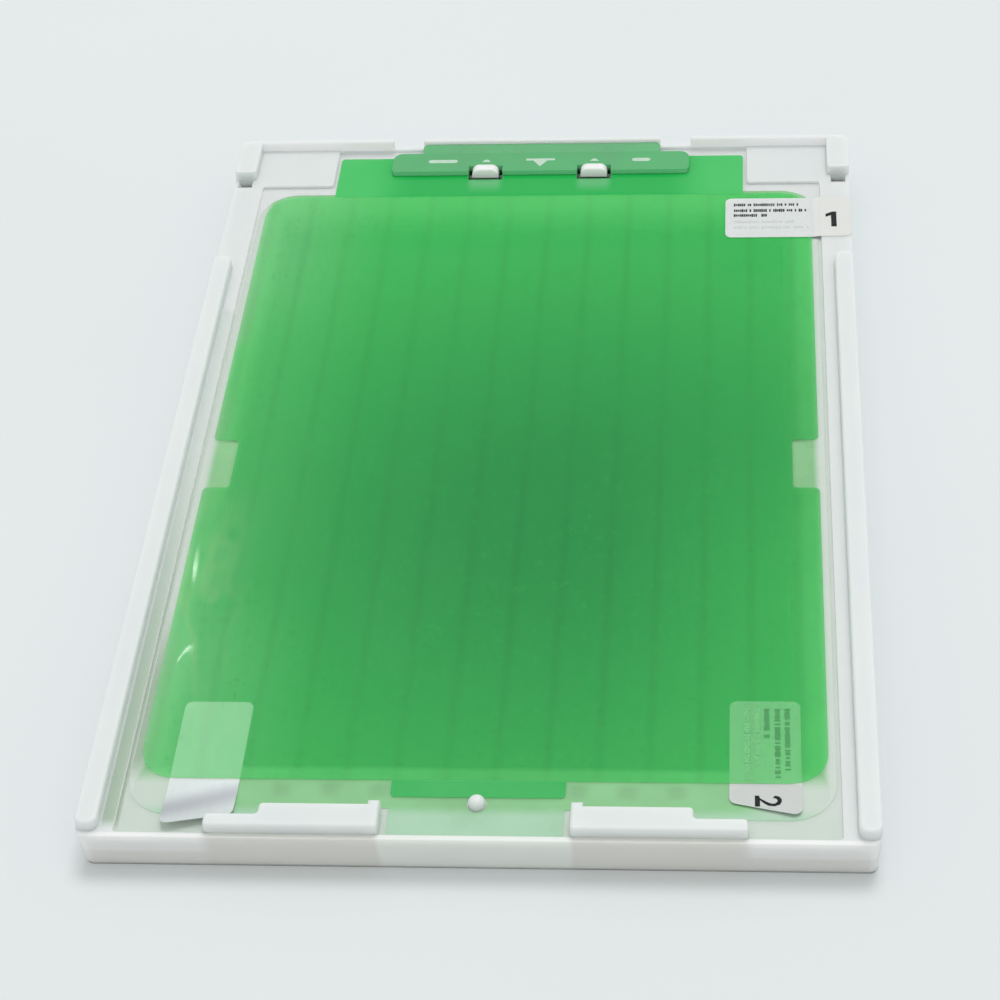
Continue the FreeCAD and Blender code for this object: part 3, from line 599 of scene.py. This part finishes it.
def matte_film(settings):
    """Clear film with the fine tooth of paper."""
    paint = Paint("matte_film")
    tooth = paint.noise(scale=2400.0, detail=4.0)
    return paint.finish(
        Base_Color=paint.clouded(tooth, settings.matte, scaled(settings.matte, 1.1), low=0.3),
        Roughness=paint.uneven(tooth, 0.5, 0.7),
        Normal=paint.bump(tooth, strength=0.25, distance=0.05 * MM),
        Alpha=0.04,
        Specular_IOR_Level=0.0,
    )


def strip_film(settings):
    """Dull green strip, a little greyer in clouds, with painted light on its near face."""
    paint = Paint("strip_film")
    fine = paint.noise(scale=1500.0)
    grey = scaled(settings.film, 0.85, 0.02)
    base = paint.clouded(paint.noise(scale=60.0, detail=3.0), settings.film, grey)
    return paint.finish(
        # Painted light on the near face
        Base_Color=paint.mix(paint.faces_near(), base, settings.edge),
        Roughness=paint.uneven(fine, 0.42, 0.56),
        Normal=paint.bump(fine, strength=0.05, distance=0.04 * MM),
    )


# Light that passes through the thin labels
LABEL_GLOW = {
    "Subsurface_Weight": 0.85,
    "Subsurface_Scale": 0.2 * MM,
    "Subsurface_Radius": (1.0, 1.0, 1.0),
}
PAPER_SHADE = 0.95


def backed(paint, base, backing):
    """Gives the faces that look down the colour of a label's backing."""
    return paint.mix(paint.below(paint.facing(2), 0.0, 0.2), base, backing)


def label_paper(name, face, tab, backing, axis, tab_from, tab_to):
    """Smooth label paper whose tab has its own tone, from tab_from to tab_to along an axis."""
    paint = Paint(name)
    fibre = paint.noise(scale=1400.0, detail=4.0)
    base = paint.clouded(fibre, face, scaled(face, PAPER_SHADE), low=0.3)
    base = paint.mix(paint.ramp((paint.x, paint.y)[axis], tab_from, tab_to), base, tab)
    return paint.finish(
        Base_Color=backed(paint, base, backing),
        Roughness=paint.uneven(fibre, 0.42, 0.54),
        Normal=paint.bump(fibre, strength=0.06, distance=0.03 * MM),
        **LABEL_GLOW,
    )


def silver_paper(face, covered, curl_shade, backing):
    """Silvery label with a soft sheen and painted shade across its tab where it curls."""
    paint = Paint("silver_label")
    brushed = paint.noise(scale=500.0, vector=paint.stretched((1.0, 0.15, 1.0)))
    base = paint.clouded(brushed, face, scaled(face, PAPER_SHADE), low=0.3)
    base = paint.mix(paint.above(paint.y, FILM_LOW.y, 0.6 * MM), base, covered)
    slanted = paint.calc("SUBTRACT", paint.y, paint.times(paint.x, FOLD_SLANT))
    on_tab = paint.ramp(paint.y, FILM_LOW.y, FILM_LOW.y - 2 * MM)
    fold = paint.times(paint.inside(FOLD_NEAR, FOLD_FAR, slanted, 3 * MM), on_tab)
    # Painted shade where the tab curls
    base = paint.mix(fold, base, curl_shade)
    return paint.finish(
        Base_Color=backed(paint, base, backing),
        Roughness=paint.uneven(brushed, 0.3, 0.42),
        Normal=paint.bump(brushed, strength=0.05, distance=0.03 * MM),
        Metallic=paint.above(paint.facing(2), 0.0, 0.2, most=0.45),
        **LABEL_GLOW,
    )


def print_ink(name, ink):
    """Printed ink with a slightly uneven lay."""
    paint = Paint(name)
    lay = paint.noise(scale=1600.0, detail=3.0)
    return paint.finish(
        Base_Color=paint.clouded(lay, ink, scaled(ink, 1.2, 0.015), high=0.75),
        Roughness=paint.uneven(lay, 0.4, 0.5),
        Specular_IOR_Level=0.1,
    )


def new_piece(name, bm, materials, replaced=None):
    """Makes an object of bm, with its materials, riding on the body."""
    mesh = bpy.data.meshes.new(name)
    bm.to_mesh(mesh)
    bm.free()
    for material in materials:
        mesh.materials.append(material)
    piece = bpy.data.objects.new(name, mesh)
    bpy.context.scene.collection.objects.link(piece)
    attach(piece, BODY)
    if replaced is not None:
        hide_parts(replaced)
    return piece


def dress(node, material):
    """Gives a CAD node its material."""
    slots = NODES[node].data.materials
    slots.clear()
    slots.append(material)


def cut_across(bm, axis, places):
    """Cuts the faces of bm at each place along an axis."""
    normal = Vector((0.0, 0.0, 0.0))
    normal[axis] = 1.0
    for place in places:
        parts = bm.verts[:] + bm.edges[:] + bm.faces[:]
        bmesh.ops.bisect_plane(bm, geom=parts, dist=CUT_REACH, plane_co=normal * place, plane_no=normal)


def steps(low, high, step):
    """Even places from low to high, about a step apart."""
    count = max(1, round((high - low) / step))
    return [low + (high - low) * index / count for index in range(count + 1)]


def thicken(bm, thickness):
    """Turns a sheet into a closed film of that thickness, upwards."""
    raised = bmesh.ops.extrude_face_region(bm, geom=bm.faces[:], use_keep_orig=True)["geom"]
    for part in raised:
        if isinstance(part, bmesh.types.BMVert):
            part.co.z += thickness
    bmesh.ops.recalc_face_normals(bm, faces=bm.faces[:])


def film_sheet(node, floor, top, cuts_x=(), cuts_y=(), lift=None):
    """A film cut to a CAD film's outline, meshed finely enough to bend."""
    bm = bmesh.new()
    bm.from_mesh(NODES[node].data)
    bmesh.ops.remove_doubles(bm, verts=bm.verts[:], dist=MERGE_REACH)
    bmesh.ops.delete(bm, geom=[face for face in bm.faces if face.normal.z < UPWARD], context="FACES")
    bmesh.ops.dissolve_limit(bm, angle_limit=FLAT_ANGLE, verts=bm.verts[:], edges=bm.edges[:])
    cut_across(bm, 0, cuts_x)
    cut_across(bm, 1, cuts_y)
    for vert in bm.verts:
        vert.co.z = floor + (lift(vert.co.x, vert.co.y) if lift else 0.0)
    thicken(bm, top - floor)
    return bm


def bell(distance, reach):
    """One at no distance, falling off in a bell's curve."""
    return math.exp(-(distance / reach) ** 2)


# Ripples: distance from the left edge, place along it, half length, turn, shares of the height and width
RIPPLES = (
    (1.6 * MM, -49 * MM, 13 * MM, -0.07, 1.0, 1.0),
    (3.0 * MM, -88.5 * MM, 9 * MM, 0.15, 3.4, 1.9),
    (10.5 * MM, -84 * MM, 10 * MM, 0.05, 0.5, 1.0),
    (8.5 * MM, -66 * MM, 11 * MM, 0.12, 0.5, 1.0),
)


def edge_lift(settings):
    """How far the green film stands up at a point: long low ripples by its left edge."""
    def lift(x, y):
        height = 0.0
        for inset, middle, reach, turn, part, width in RIPPLES:
            over = x - FILM_LOW.x - inset
            along = y - middle
            lengthwise = along * math.cos(turn) + over * math.sin(turn)
            crosswise = over * math.cos(turn) - along * math.sin(turn)
            height += part * bell(lengthwise, reach) * bell(crosswise, settings.ripple_width * width)
        return settings.ripple_height * height
    return lift


def smooth(piece):
    """Shades a piece smooth, apart from its sharp edges."""
    for face in piece.data.polygons:
        face.use_smooth = True
    piece.data.set_sharp_from_angle(angle=SHARP_ANGLE)


class PROTECTOR_OT_tray(bpy.types.Operator):
    """Gives the alignment tray its milky plastic"""
    bl_idname = "protector.tray"
    bl_label = "Alignment Tray"

    def execute(self, context):
        dress("alignment_tray", tray_plastic(context.scene.protector_tray))
        return {"FINISHED"}


class PROTECTOR_OT_films(bpy.types.Operator):
    """Makes the carrier film, the paper-feel protector and the green release film"""
    bl_idname = "protector.films"
    bl_label = "Films"

    def execute(self, context):
        settings = context.scene.protector_film
        carrier = film_sheet("carrier_film", CARRIER_LOW.z + LAYER_GAP, CARRIER_HIGH.z - LAYER_GAP)
        protector = film_sheet("paper_feel_protector", FILM_LOW.z + LAYER_GAP, FILM_HIGH.z - LAYER_GAP)
        release = film_sheet(
            "release_film", RELEASE_LOW.z + LAYER_GAP, RELEASE_HIGH.z,
            cuts_x=steps(FILM_LOW.x, FILM_LOW.x + settings.lift_reach, settings.grid),
            cuts_y=steps(FILM_LOW.y, 0.0, settings.grid) + [FILM_HIGH.y],
            lift=edge_lift(settings))
        for face in release.faces:
            if not FILM_LOW.y < face.calc_center_median().y < FILM_HIGH.y:
                face.material_index = 1
        pale = [carrier_film(settings)]
        matte = [matte_film(settings)]
        greens = [green_film(settings), green_tab(settings)]
        for piece in (
                new_piece("carrier_sheet", carrier, pale, "carrier_film"),
                new_piece("protector_sheet", protector, matte, "paper_feel_protector"),
                new_piece("release_sheet", release, greens, "release_film")):
            smooth(piece)
            piece.visible_shadow = False
        return {"FINISHED"}


def surface_under(node):
    """A function that gives the height of a CAD node's upper face at a point."""
    mesh = NODES[node].data
    tree = BVHTree.FromPolygons(
        [vert.co[:] for vert in mesh.vertices], [face.vertices[:] for face in mesh.polygons])

    def height(x, y):
        found = tree.ray_cast(Vector((x, y, 1.0)), Vector((0.0, 0.0, -1.0)))[0]
        if found is None:
            raise ValueError(f"the print leaves {node} at {x:.4f}, {y:.4f}")
        return found.z
    return height


# A print's height over its paper, its whole depth, and the mesh step that lets it follow a curl
PRINT_PROUD = 0.01 * MM
PRINT_DEPTH = 0.04 * MM
PRINT_STEP = 0.8 * MM


def lay_print(bm, node):
    """Lays flat shapes on a node's upper face and gives them the thickness of a print."""
    across = [vert.co.x for vert in bm.verts]
    along = [vert.co.y for vert in bm.verts]
    cut_across(bm, 0, steps(min(across), max(across), PRINT_STEP)[1:-1])
    cut_across(bm, 1, steps(min(along), max(along), PRINT_STEP)[1:-1])
    height = surface_under(node)
    for vert in bm.verts:
        vert.co.z = height(vert.co.x, vert.co.y) + PRINT_PROUD - PRINT_DEPTH
    thicken(bm, PRINT_DEPTH)


def add_shape(bm, points):
    """Adds one flat face through the points."""
    bm.faces.new([bm.verts.new((x, y, 0.0)) for x, y in points])


# The strip's marks: middle and width of each dash, the arrow's parts, and a wedge by each lug
DASHES = ((-32 * MM, 9.6 * MM), (33 * MM, 6 * MM))
DASH_END_STEP = 30
ARROW_RISE = 1.1 * MM
ARROW_BAR = 0.25
ARROW_POINT = 0.5
WEDGE_FOOT = 1.5 * MM
WEDGE_HEAD = 0.5 * MM
WEDGE_DROP = 0.5 * MM
WEDGE_RISE = 0.7 * MM


def bar(middle_x, middle_y, width, height):
    """A bar with round ends."""
    radius = height / 2
    reach = width / 2 - radius
    turns = [math.radians(angle) for angle in range(-90, 91, DASH_END_STEP)]
    right = [(middle_x + reach + radius * math.cos(a), middle_y + radius * math.sin(a)) for a in turns]
    left = [(middle_x - reach - radius * math.cos(a), middle_y - radius * math.sin(a)) for a in turns]
    return right + left


def arrow(line, width, height):
    """An arrow that points to the near end, under a bar."""
    half = width / 2
    top = line + ARROW_RISE
    under = top - ARROW_BAR * height
    point = ARROW_POINT * half
    return [
        (-half, top), (-half, under), (-point, under), (0.0, top - height), (point, under),
        (half, under), (half, top)]


def wedge(middle, line):
    """A small wedge beside a lug."""
    foot = line - WEDGE_DROP
    head = line + WEDGE_RISE
    return [
        (middle - WEDGE_FOOT, foot), (middle + WEDGE_FOOT, foot),
        (middle + WEDGE_HEAD, head), (middle - WEDGE_HEAD, head)]


class PROTECTOR_OT_strip(bpy.types.Operator):
    """Gives the hook strip its film and prints its dashes and arrows"""
    bl_idname = "protector.strip"
    bl_label = "Hook Strip"

    def execute(self, context):
        settings = context.scene.protector_strip
        dress("hook_strip", strip_film(settings))
        line = STRIP_LOW.y + settings.mark_line
        bm = bmesh.new()
        for middle, width in DASHES:
            add_shape(bm, bar(middle, line, width, settings.dash_height))
        add_shape(bm, arrow(line, settings.arrow_width, settings.arrow_height))
        for middle in (-LUG_X, LUG_X):
            add_shape(bm, wedge(middle, line))
        lay_print(bm, "hook_strip")
        new_piece("strip_marks", bm, [print_ink("mark_ink", settings.marks)])
        return {"FINISHED"}


# Sizes of the blocks in a row of print, in shares of the pitch and of the row's height
BLOCK_WIDTH = 0.9
BLOCK_LEAST = (0.75, 0.6, 1.0)
BLOCK_MOST = (1.0, 1.0, 1.0)


def row_tree():
    """Nodes that set small blocks along a row, as a line of small print looks from afar."""
    tree = bpy.data.node_groups.new("print_row", "GeometryNodeTree")
    sockets = dict.fromkeys(("Row Length", "Pitch", "Height", "Depth", "Gaps"), "NodeSocketFloat")
    sockets.update({"Seed": "NodeSocketInt", "Ink": "NodeSocketMaterial"})
    for name, kind in sockets.items():
        tree.interface.new_socket(name, in_out="INPUT", socket_type=kind)
    tree.interface.new_socket("Geometry", in_out="OUTPUT", socket_type="NodeSocketGeometry")
    given = tree.nodes.new("NodeGroupInput").outputs

    def add(kind, inputs, output=0, **settings):
        return add_node(tree, kind, inputs, **settings).outputs[output]

    count = add("ShaderNodeMath", {0: given["Row Length"], 1: given["Pitch"]}, operation="DIVIDE")
    offset = add("ShaderNodeCombineXYZ", {"X": given["Pitch"]})
    line = add("GeometryNodeMeshLine", {"Count": count, "Offset": offset})
    left_out = add(
        "FunctionNodeRandomValue", {"Probability": given["Gaps"], "Seed": given["Seed"]}, output=3,
        data_type="BOOLEAN")
    letters = add("GeometryNodeDeleteGeometry", {"Geometry": line, "Selection": left_out})
    width = add("ShaderNodeMath", {0: given["Pitch"], 1: BLOCK_WIDTH}, operation="MULTIPLY")
    size = add("ShaderNodeCombineXYZ", {"X": width, "Y": given["Height"], "Z": given["Depth"]})
    block = add("GeometryNodeMeshCube", {"Size": size})
    scale = add(
        "FunctionNodeRandomValue", {0: BLOCK_LEAST, 1: BLOCK_MOST, "Seed": given["Seed"]},
        data_type="FLOAT_VECTOR")
    set_out = add("GeometryNodeInstanceOnPoints", {"Points": letters, "Instance": block, "Scale": scale})
    real = add("GeometryNodeRealizeInstances", {"Geometry": set_out})
    inked = add("GeometryNodeSetMaterial", {"Geometry": real, "Material": given["Ink"]})
    tree.links.new(inked, tree.nodes.new("NodeGroupOutput").inputs["Geometry"])
    return tree


def row_mesh(tree, **inputs):
    """Runs the row nodes once and gives the result as a plain mesh."""
    holder = bpy.data.objects.new("print_row", bpy.data.meshes.new("print_row"))
    bpy.context.scene.collection.objects.link(holder)
    modifier = holder.modifiers.new("print_row", "NODES")
    modifier.node_group = tree
    for item in tree.interface.items_tree:
        if item.in_out == "INPUT":
            modifier[item.identifier] = inputs[item.name.lower().replace(" ", "_")]
    evaluated = holder.evaluated_get(bpy.context.evaluated_depsgraph_get())
    mesh = bpy.data.meshes.new_from_object(evaluated)
    bpy.data.objects.remove(holder)
    return mesh


# Each label's upper left corner in its reading direction; the second reads towards the near end
QUARTER_TURN = Matrix.Rotation(-math.pi / 2, 4, "Z")
READING_1 = Matrix.Translation((LABEL_1_LOW.x, LABEL_1_HIGH.y, 0.0))
READING_2 = Matrix.Translation((LABEL_2_HIGH.x, LABEL_2_HIGH.y, 0.0)) @ QUARTER_TURN

# Rows of small print in mm: distance down from the label's edge, length, and dark (0) or pale (1) ink
ROWS_1 = ((3.4, 21.0, 0), (6.4, 23.4, 0), (8.9, 10.6, 0), (12.3, 19.9, 1), (15.2, 24.0, 1))
ROWS_2 = ((3.4, 21.0, 0), (5.9, 23.2, 0), (8.6, 10.3, 0), (11.0, 20.1, 1), (13.6, 23.8, 1))
ROWS_INSET_1 = 2.9 * MM
ROWS_INSET_2 = 3.05 * MM

# The numerals' outlines in a box of one by one, and each box's lower left corner and size
NUMERAL_1 = ((0.50, 0.0), (1.0, 0.0), (1.0, 1.0), (0.64, 1.0), (0.0, 0.85), (0.0, 0.65), (0.50, 0.76))
NUMERAL_1_BOX = (31.5 * MM, -15.4 * MM, 3.4 * MM, 7.7 * MM)
NUMERAL_2_SPINE = (
    (0.14, 0.70), (0.20, 0.83), (0.36, 0.91), (0.55, 0.91), (0.74, 0.84), (0.83, 0.70), (0.80, 0.55),
    (0.66, 0.41), (0.46, 0.27), (0.26, 0.12))
NUMERAL_2_WEIGHTS = (0.21, 0.21, 0.17, 0.16, 0.20, 0.23, 0.22, 0.17, 0.12, 0.09)
NUMERAL_2_FOOT = ((0.06, 0.0), (0.98, 0.0), (0.98, 0.19), (0.28, 0.19), (0.06, 0.15))
NUMERAL_2_BOX = (30.95 * MM, -11.7 * MM, 4.1 * MM, 6.7 * MM)


def placed(points, box, reading):
    """The points of a one by one box, set in a box on a label."""
    left, foot, width, height = box
    return [(reading @ Vector((left + x * width, foot + y * height, 0.0)))[:2] for x, y in points]


def ribbon(spine, weights):
    """The two sides of a stroke along a spine."""
    left, right = [], []
    for index, point in enumerate(spine):
        before = spine[max(index - 1, 0)]
        after = spine[min(index + 1, len(spine) - 1)]
        run = Vector(after) - Vector(before)
        side = Vector((-run.y, run.x)).normalized() * weights[index] / 2
        left.append(tuple(Vector(point) + side))
        right.append(tuple(Vector(point) - side))
    return left, right


def print_rows(tree, settings, rows, inset, reading, inks, node):
    """A label's rows of small print, on a node's upper face."""
    bm = bmesh.new()
    for number, (down, reach, tone) in enumerate(rows):
        mesh = row_mesh(
            tree, row_length=reach * MM, pitch=settings.letter_pitch, height=settings.letter_height,
            depth=PRINT_DEPTH, gaps=settings.word_gaps, seed=settings.seed + number, ink=inks[tone])
        mesh.transform(reading @ Matrix.Translation((inset, -down * MM, 0.0)))
        first = len(bm.faces)
        bm.from_mesh(mesh)
        bm.faces.ensure_lookup_table()
        for face in bm.faces[first:]:
            face.material_index = tone
        bpy.data.meshes.remove(mesh)
    height = surface_under(node)
    for vert in bm.verts:
        vert.co.z += height(vert.co.x, vert.co.y) + PRINT_PROUD - PRINT_DEPTH / 2
    return bm


def print_one():
    """The first label's numeral."""
    bm = bmesh.new()
    add_shape(bm, placed(NUMERAL_1, NUMERAL_1_BOX, READING_1))
    lay_print(bm, "pull_label_1")
    return bm


def print_two():
    """The second label's numeral: a stroke of changing weight on a flat foot."""
    bm = bmesh.new()
    left, right = [
        placed(side, NUMERAL_2_BOX, READING_2) for side in ribbon(NUMERAL_2_SPINE, NUMERAL_2_WEIGHTS)]
    for index in range(len(left) - 1):
        add_shape(bm, [left[index], right[index], right[index + 1], left[index + 1]])
    add_shape(bm, placed(NUMERAL_2_FOOT, NUMERAL_2_BOX, READING_2))
    lay_print(bm, "pull_label_2")
    return bm


class PROTECTOR_OT_labels(bpy.types.Operator):
    """Gives the pull labels their paper and prints their rows and numerals"""
    bl_idname = "protector.labels"
    bl_label = "Pull Labels"

    def execute(self, context):
        settings = context.scene.protector_label
        dark = print_ink("dark_ink", settings.ink)
        paper_inks = (dark, print_ink("pale_ink", settings.pale_ink))
        film_inks = (
            print_ink("film_ink", settings.film_ink), print_ink("pale_film_ink", settings.pale_film_ink))
        dress("pull_label_1", label_paper(
            "label_1_paper", settings.paper, settings.tab_paper, settings.backing, 0, TAB_FROM,
            TAB_FROM + 0.6 * MM))
        dress("pull_label_2", label_paper(
            "label_2_paper", settings.under_paper, settings.bare_paper, settings.backing, 1,
            FILM_LOW.y + 0.3 * MM, FILM_LOW.y - 0.3 * MM))
        dress("pull_label_blank", silver_paper(
            settings.silver, settings.under_silver, settings.curl_shade, settings.backing))
        tree = row_tree()
        for name, rows, inset, reading, inks, node in (
                ("label_1_print", ROWS_1, ROWS_INSET_1, READING_1, paper_inks, "pull_label_1"),
                ("label_2_print", ROWS_2, ROWS_INSET_2, READING_2, film_inks, "release_film")):
            bm = print_rows(tree, settings, rows, inset, reading, inks, node)
            new_piece(name, bm, inks).visible_shadow = False
        new_piece("numeral_1", print_one(), [dark])
        new_piece("numeral_2", print_two(), [dark])
        return {"FINISHED"}


# The camera, the lamps and the table
CAMERA_PLACE = (0.06582, -0.51956, 0.48644)
CAMERA_TURN = (46.3328, 3.23, 3.4274)
CAMERA_SHIFT = -0.04
KEY_PLACE = (0.1, 0.4, 1.0)
KEY_TARGET = (0.0, 0.0, 0.0)
GLINT_PLACE = (-0.233, 0.837, 0.952)
GLINT_TARGET = (-0.0845, -0.05, 0.012)
GLINT_SIZE = 0.055
FLOOR_RADIUS = 4.0
FLOOR_SEGMENTS = 96


def table_top(settings):
    """A pale table, very slightly uneven."""
    paint = Paint("table_top")
    cloud = paint.noise(scale=3.0, detail=3.0)
    return paint.finish(
        Base_Color=paint.clouded(cloud, settings.floor, scaled(settings.floor, 0.98), low=0.3),
        Roughness=0.75,
        Specular_IOR_Level=0.2,
    )


def light_room(settings):
    """Even light from all round, with the pale background for what the camera and gloss see."""
    world = bpy.data.worlds.new("studio")
    world.use_nodes = True
    tree = world.node_tree
    tree.nodes.clear()
    rays = tree.nodes.new("ShaderNodeLightPath").outputs
    shown = rays["Is Camera Ray"]
    for name in ("Is Transmission Ray", "Is Glossy Ray"):
        either = add_node(tree, "ShaderNodeMath", {0: shown, 1: rays[name]}, operation="MAXIMUM")
        shown = either.outputs[0]
    light = add_node(tree, "ShaderNodeBackground", {"Color": (1.0, 1.0, 1.0), "Strength": settings.sky})
    back = add_node(tree, "ShaderNodeBackground", {"Color": settings.floor})
    seen = add_node(tree, "ShaderNodeMixShader", {0: shown, 1: light.outputs[0], 2: back.outputs[0]})
    add_node(tree, "ShaderNodeOutputWorld", {"Surface": seen.outputs[0]})
    bpy.context.scene.world = world


def add_lamp(light, place, target):
    """Sets a lamp at a place, turned to its target."""
    lamp = bpy.data.objects.new(light.name, light)
    lamp.location = place
    lamp.rotation_euler = (Vector(target) - Vector(place)).to_track_quat("-Z", "Y").to_euler()
    bpy.context.scene.collection.objects.link(lamp)


def add_table(settings):
    """The round table that the part lies on."""
    bm = bmesh.new()
    bmesh.ops.create_circle(bm, cap_ends=True, segments=FLOOR_SEGMENTS, radius=FLOOR_RADIUS)
    mesh = bpy.data.meshes.new("table_top")
    bm.to_mesh(mesh)
    bm.free()
    mesh.materials.append(table_top(settings))
    floor = bpy.data.objects.new("table_top", mesh)
    bpy.context.scene.collection.objects.link(floor)


def add_camera(scene, focal_length):
    """The camera, at the photograph's viewing angle."""
    lens = bpy.data.cameras.new("camera")
    lens.lens = focal_length
    lens.shift_x = CAMERA_SHIFT
    camera = bpy.data.objects.new("camera", lens)
    camera.location = CAMERA_PLACE
    camera.rotation_euler = [math.radians(turn) for turn in CAMERA_TURN]
    scene.collection.objects.link(camera)
    scene.camera = camera


class PROTECTOR_OT_stage(bpy.types.Operator):
    """Makes the table, the soft light and the camera"""
    bl_idname = "protector.stage"
    bl_label = "Stage"

    def execute(self, context):
        settings = context.scene.protector_stage
        add_table(settings)
        light_room(settings)
        key = bpy.data.lights.new("key", "SUN")
        key.energy = settings.key
        key.angle = settings.key_spread
        add_lamp(key, KEY_PLACE, KEY_TARGET)
        glint = bpy.data.lights.new("glint", "AREA")
        glint.size = GLINT_SIZE
        glint.energy = settings.glint
        add_lamp(glint, GLINT_PLACE, GLINT_TARGET)
        add_camera(context.scene, settings.lens)
        context.scene.view_settings.view_transform = "Standard"
        return {"FINISHED"}


OPERATORS = (
    PROTECTOR_OT_stage, PROTECTOR_OT_tray, PROTECTOR_OT_films, PROTECTOR_OT_strip, PROTECTOR_OT_labels)
SETTINGS = {
    "protector_tray": TraySettings,
    "protector_film": FilmSettings,
    "protector_strip": StripSettings,
    "protector_label": LabelSettings,
    "protector_stage": StageSettings,
}


class PROTECTOR_PT_sidebar(bpy.types.Panel):
    """Lists the pieces' operators and settings"""
    bl_idname = "PROTECTOR_PT_sidebar"
    bl_label = "Screen Protector"
    bl_space_type = "VIEW_3D"
    bl_region_type = "UI"
    bl_category = "Protector"

    def draw(self, context):
        for operator in OPERATORS:
            self.layout.operator(operator.bl_idname)
        for name in SETTINGS:
            settings = getattr(context.scene, name)
            box = self.layout.box()
            for prop in settings.__annotations__:
                box.prop(settings, prop)


CLASSES = (*SETTINGS.values(), *OPERATORS, PROTECTOR_PT_sidebar)


def register():
    for kind in CLASSES:
        bpy.utils.register_class(kind)
    for name, kind in SETTINGS.items():
        setattr(bpy.types.Scene, name, PointerProperty(type=kind))


def unregister():
    for name in SETTINGS:
        delattr(bpy.types.Scene, name)
    for kind in reversed(CLASSES):
        bpy.utils.unregister_class(kind)


def main():
    register()
    bpy.ops.protector.stage()
    bpy.ops.protector.tray()
    bpy.ops.protector.films()
    bpy.ops.protector.strip()
    bpy.ops.protector.labels()


if __name__ == "__main__":
    main()
